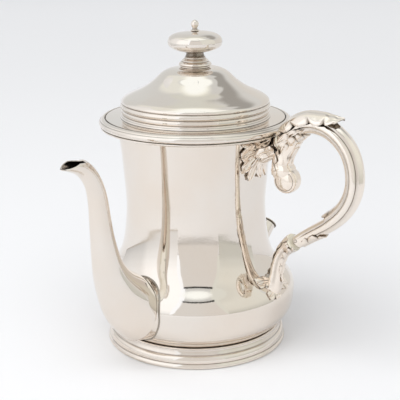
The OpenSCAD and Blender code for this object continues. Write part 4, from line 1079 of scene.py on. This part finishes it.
# the rest of the room, as seen in the silver
def room(az, el):
    """Radiance of the room in a direction."""
    base = np.array([0.765, 0.785, 0.79])
    wall_l = np.array([0.85, 0.88, 0.90])
    flank = np.array([0.78, 0.81, 0.82])
    white = np.array([1.22, 1.28, 1.36])
    wall_r = np.array([0.87, 0.90, 0.86])
    back = np.array([0.92, 0.94, 0.98])
    top = np.array([1.21, 1.27, 1.27])
    S = lambda v, a, b: float(step01(np.array(v), a, b))
    c = base.copy()
    mix = lambda c, d, k: c + (d - c) * k
    c = mix(c, wall_r, S(az, 24, 26) * S(az, 100, 86) * S(el, 78, 62))
    c = mix(c, wall_l, S(az, -92, -84) * S(az, -20, -22) * S(el, 75, 66))
    c = mix(c, white, S(az, -43.5, -41.5) * S(az, -20, -22))
    c = mix(c, flank, S(az, -124, -118) * S(az, -84, -92) * S(el, 75, 60))
    c = mix(c, np.array([0.95, 0.97, 0.93]), S(az, -146, -134) * S(az, -88, -98) * S(el, 36, 44))
    c = mix(c, np.array([0.79, 0.81, 0.77]), S(abs(az), 138, 150) * S(el, 55, 61))
    c = mix(c, np.array([0.79, 0.785, 0.765]), S(az, 84, 96) * S(el, 30, 22))
    c = mix(c, back, S(abs(az), 92, 104) * S(el, 16, 4) * S(az, 60, 40))
    c = mix(c, np.array([0.43, 0.43, 0.42]), S(az, 92, 112) * S(az, 174, 160) * S(el, 33, 44) * S(el, 58.5 + 3 * math.sin(az * 0.23), 55.5 + 3 * math.sin(az * 0.23)))
    c = mix(c, top, S(el, 58.6, 60.0) * S(az, -92, -86) * S(az, 31, 29))
    c = mix(c, np.array([1.10, 1.13, 1.05]), S(el, 67, 77) * S(abs(az), 84, 96))
    c = mix(c, top, max(S(el, 72, 80), S(el, 60, 66) * S(az, 29, 31) * S(az, 104, 90)))
    c = mix(c, np.array([0.03, 0.03, 0.03]), S(el, 60, 62) * S(el, 83, 80) * S(az, 28.8, 29.8) * S(az, 32.2, 31.2))
    return c


def dome_room():
    az = np.unique(np.concatenate([np.arange(-180, 181, 3), np.arange(-46, -16, 0.5), np.arange(20, 36, 0.4), [-180, 180]]))
    el = np.unique(np.concatenate([np.arange(-2, 90, 2), np.arange(56, 64, 0.4), np.arange(0, 20, 1), [89.9]]))
    V, C = [], []
    for e in el:
        for a in az:
            r = 2600.0
            V.append(cam_frame(r * math.cos(math.radians(e)) * math.sin(math.radians(a)), -r * math.cos(math.radians(e)) * math.cos(math.radians(a)),
                               70 + r * math.sin(math.radians(e))))
            C.append((*room(a, e), 1.0))
    V = np.array(V)
    V[:, 2] = np.maximum(V[:, 2], 2)
    me = bpy.data.meshes.new("tent_room")
    me.from_pydata((V * MM).tolist(), [], grid_faces(len(el), len(az)))
    at = me.attributes.new("tone", "FLOAT_COLOR", "POINT")
    at.data.foreach_set("color", np.array(C, np.float32).ravel())
    m = light_mat("tent_room", (1, 1, 1), 1.0)
    t = m.node_tree
    a = t.nodes.new("ShaderNodeAttribute")
    a.attribute_name = "tone"
    t.links.new(a.outputs["Color"], [q for q in t.nodes if q.type == "EMISSION"][0].inputs["Color"])
    me.materials.append(m)
    o = bpy.data.objects.new("tent_room", me)
    bpy.context.scene.collection.objects.link(o)
    only_reflected(o)


dome_room()


def lamp(name, kind, strength, az, el, dist=3000, at=(0, 0, 0), **kw):
    d = bpy.data.lights.new(name, kind)
    d.energy = strength
    for k, v in kw.items():
        setattr(d, k, v)
    o = bpy.data.objects.new(name, d)
    bpy.context.scene.collection.objects.link(o)
    a, e = math.radians(az), math.radians(el)
    P = Vector(cam_frame(at[0] + dist * math.cos(e) * math.sin(a), at[1] - dist * math.cos(e) * math.cos(a), at[2] + dist * math.sin(e))) * MM
    T = Vector(cam_frame(*at)) * MM
    o.location = P
    o.rotation_euler = (P - T).to_track_quat("Z", "Y").to_euler()
    o.visible_glossy = False
    o.visible_camera = False
    return o


lamp("key_left", "SUN", 0.62, -55, 48, angle=math.radians(55))
lamp("key_front", "SUN", 0.95, 20, 58, angle=math.radians(60))
lamp("front_box", "AREA", 5.4, -40, 70, dist=1250, at=(-330, -200, 0), size=1.1)

# floor
fm = bpy.data.materials.new("floor_paper")
fm.use_nodes = True
t = fm.node_tree
p = t.nodes["Principled BSDF"]
tc = t.nodes.new("ShaderNodeTexCoord")
nz = t.nodes.new("ShaderNodeTexNoise")
nz.inputs["Scale"].default_value = 1.3
nz.inputs["Detail"].default_value = 2
t.links.new(tc.outputs["Object"], nz.inputs["Vector"])
rp = t.nodes.new("ShaderNodeMix")
rp.data_type = "RGBA"
ins = [q for q in rp.inputs if q.type == "RGBA"]
ins[0].default_value = (0.885, 0.89, 0.905, 1)
ins[1].default_value = (0.905, 0.91, 0.922, 1)
t.links.new(nz.outputs["Fac"], rp.inputs["Factor"])
t.links.new([q for q in rp.outputs if q.type == "RGBA"][0], p.inputs["Base Color"])
p.inputs["Roughness"].default_value = 0.9
p.inputs["Specular IOR Level"].default_value = 0.1
V, F = lathe_parts([(0, 0)] + [(r, 0) for r in np.linspace(150, 7000, 30)], 96, closed=False)
me = bpy.data.meshes.new("floor")
me.from_pydata((V * MM - np.array([0, 0, 0.0002])).tolist(), [], [f[::-1] for f in F])
me.materials.append(fm)
floor = bpy.data.objects.new("floor", me)
bpy.context.scene.collection.objects.link(floor)

# sky
w = bpy.data.worlds.new("studio")
bpy.context.scene.world = w
w.use_nodes = True
w.node_tree.nodes["Background"].inputs["Color"].default_value = (0.985, 0.99, 1.0, 1)
w.node_tree.nodes["Background"].inputs["Strength"].default_value = 0.475

# ---------------------------------------------------------------- camera
pitch, yaw, roll = math.radians(16.467), math.radians(0.238), math.radians(0.298)
away = Vector((-c37, -s37, 0))
right = Vector((-s37, c37, 0))
away, right = away * math.cos(yaw) + right * math.sin(yaw), right * math.cos(yaw) - away * math.sin(yaw)
fwd = away * math.cos(pitch) + Vector((0, 0, -math.sin(pitch)))
upv = right.cross(fwd)
upv, right = upv * math.cos(roll) + right * math.sin(roll), right * math.cos(roll) - upv * math.sin(roll)
cam_data = bpy.data.cameras.new("camera")
cam = bpy.data.objects.new("camera", cam_data)
bpy.context.scene.collection.objects.link(cam)
cam_data.sensor_width = 36
cam_data.lens = 91.86
cam_data.clip_start, cam_data.clip_end = 0.05, 50
M = Matrix.Identity(4)
for i in range(3):
    M[i][0], M[i][1], M[i][2] = right[i], upv[i], -fwd[i]
M[0][3], M[1][3], M[2][3] = 0.700 * c37, 0.700 * s37, 0.3088
cam.matrix_world = M
bpy.context.scene.camera = cam
bpy.context.scene.view_settings.view_transform = "Standard"
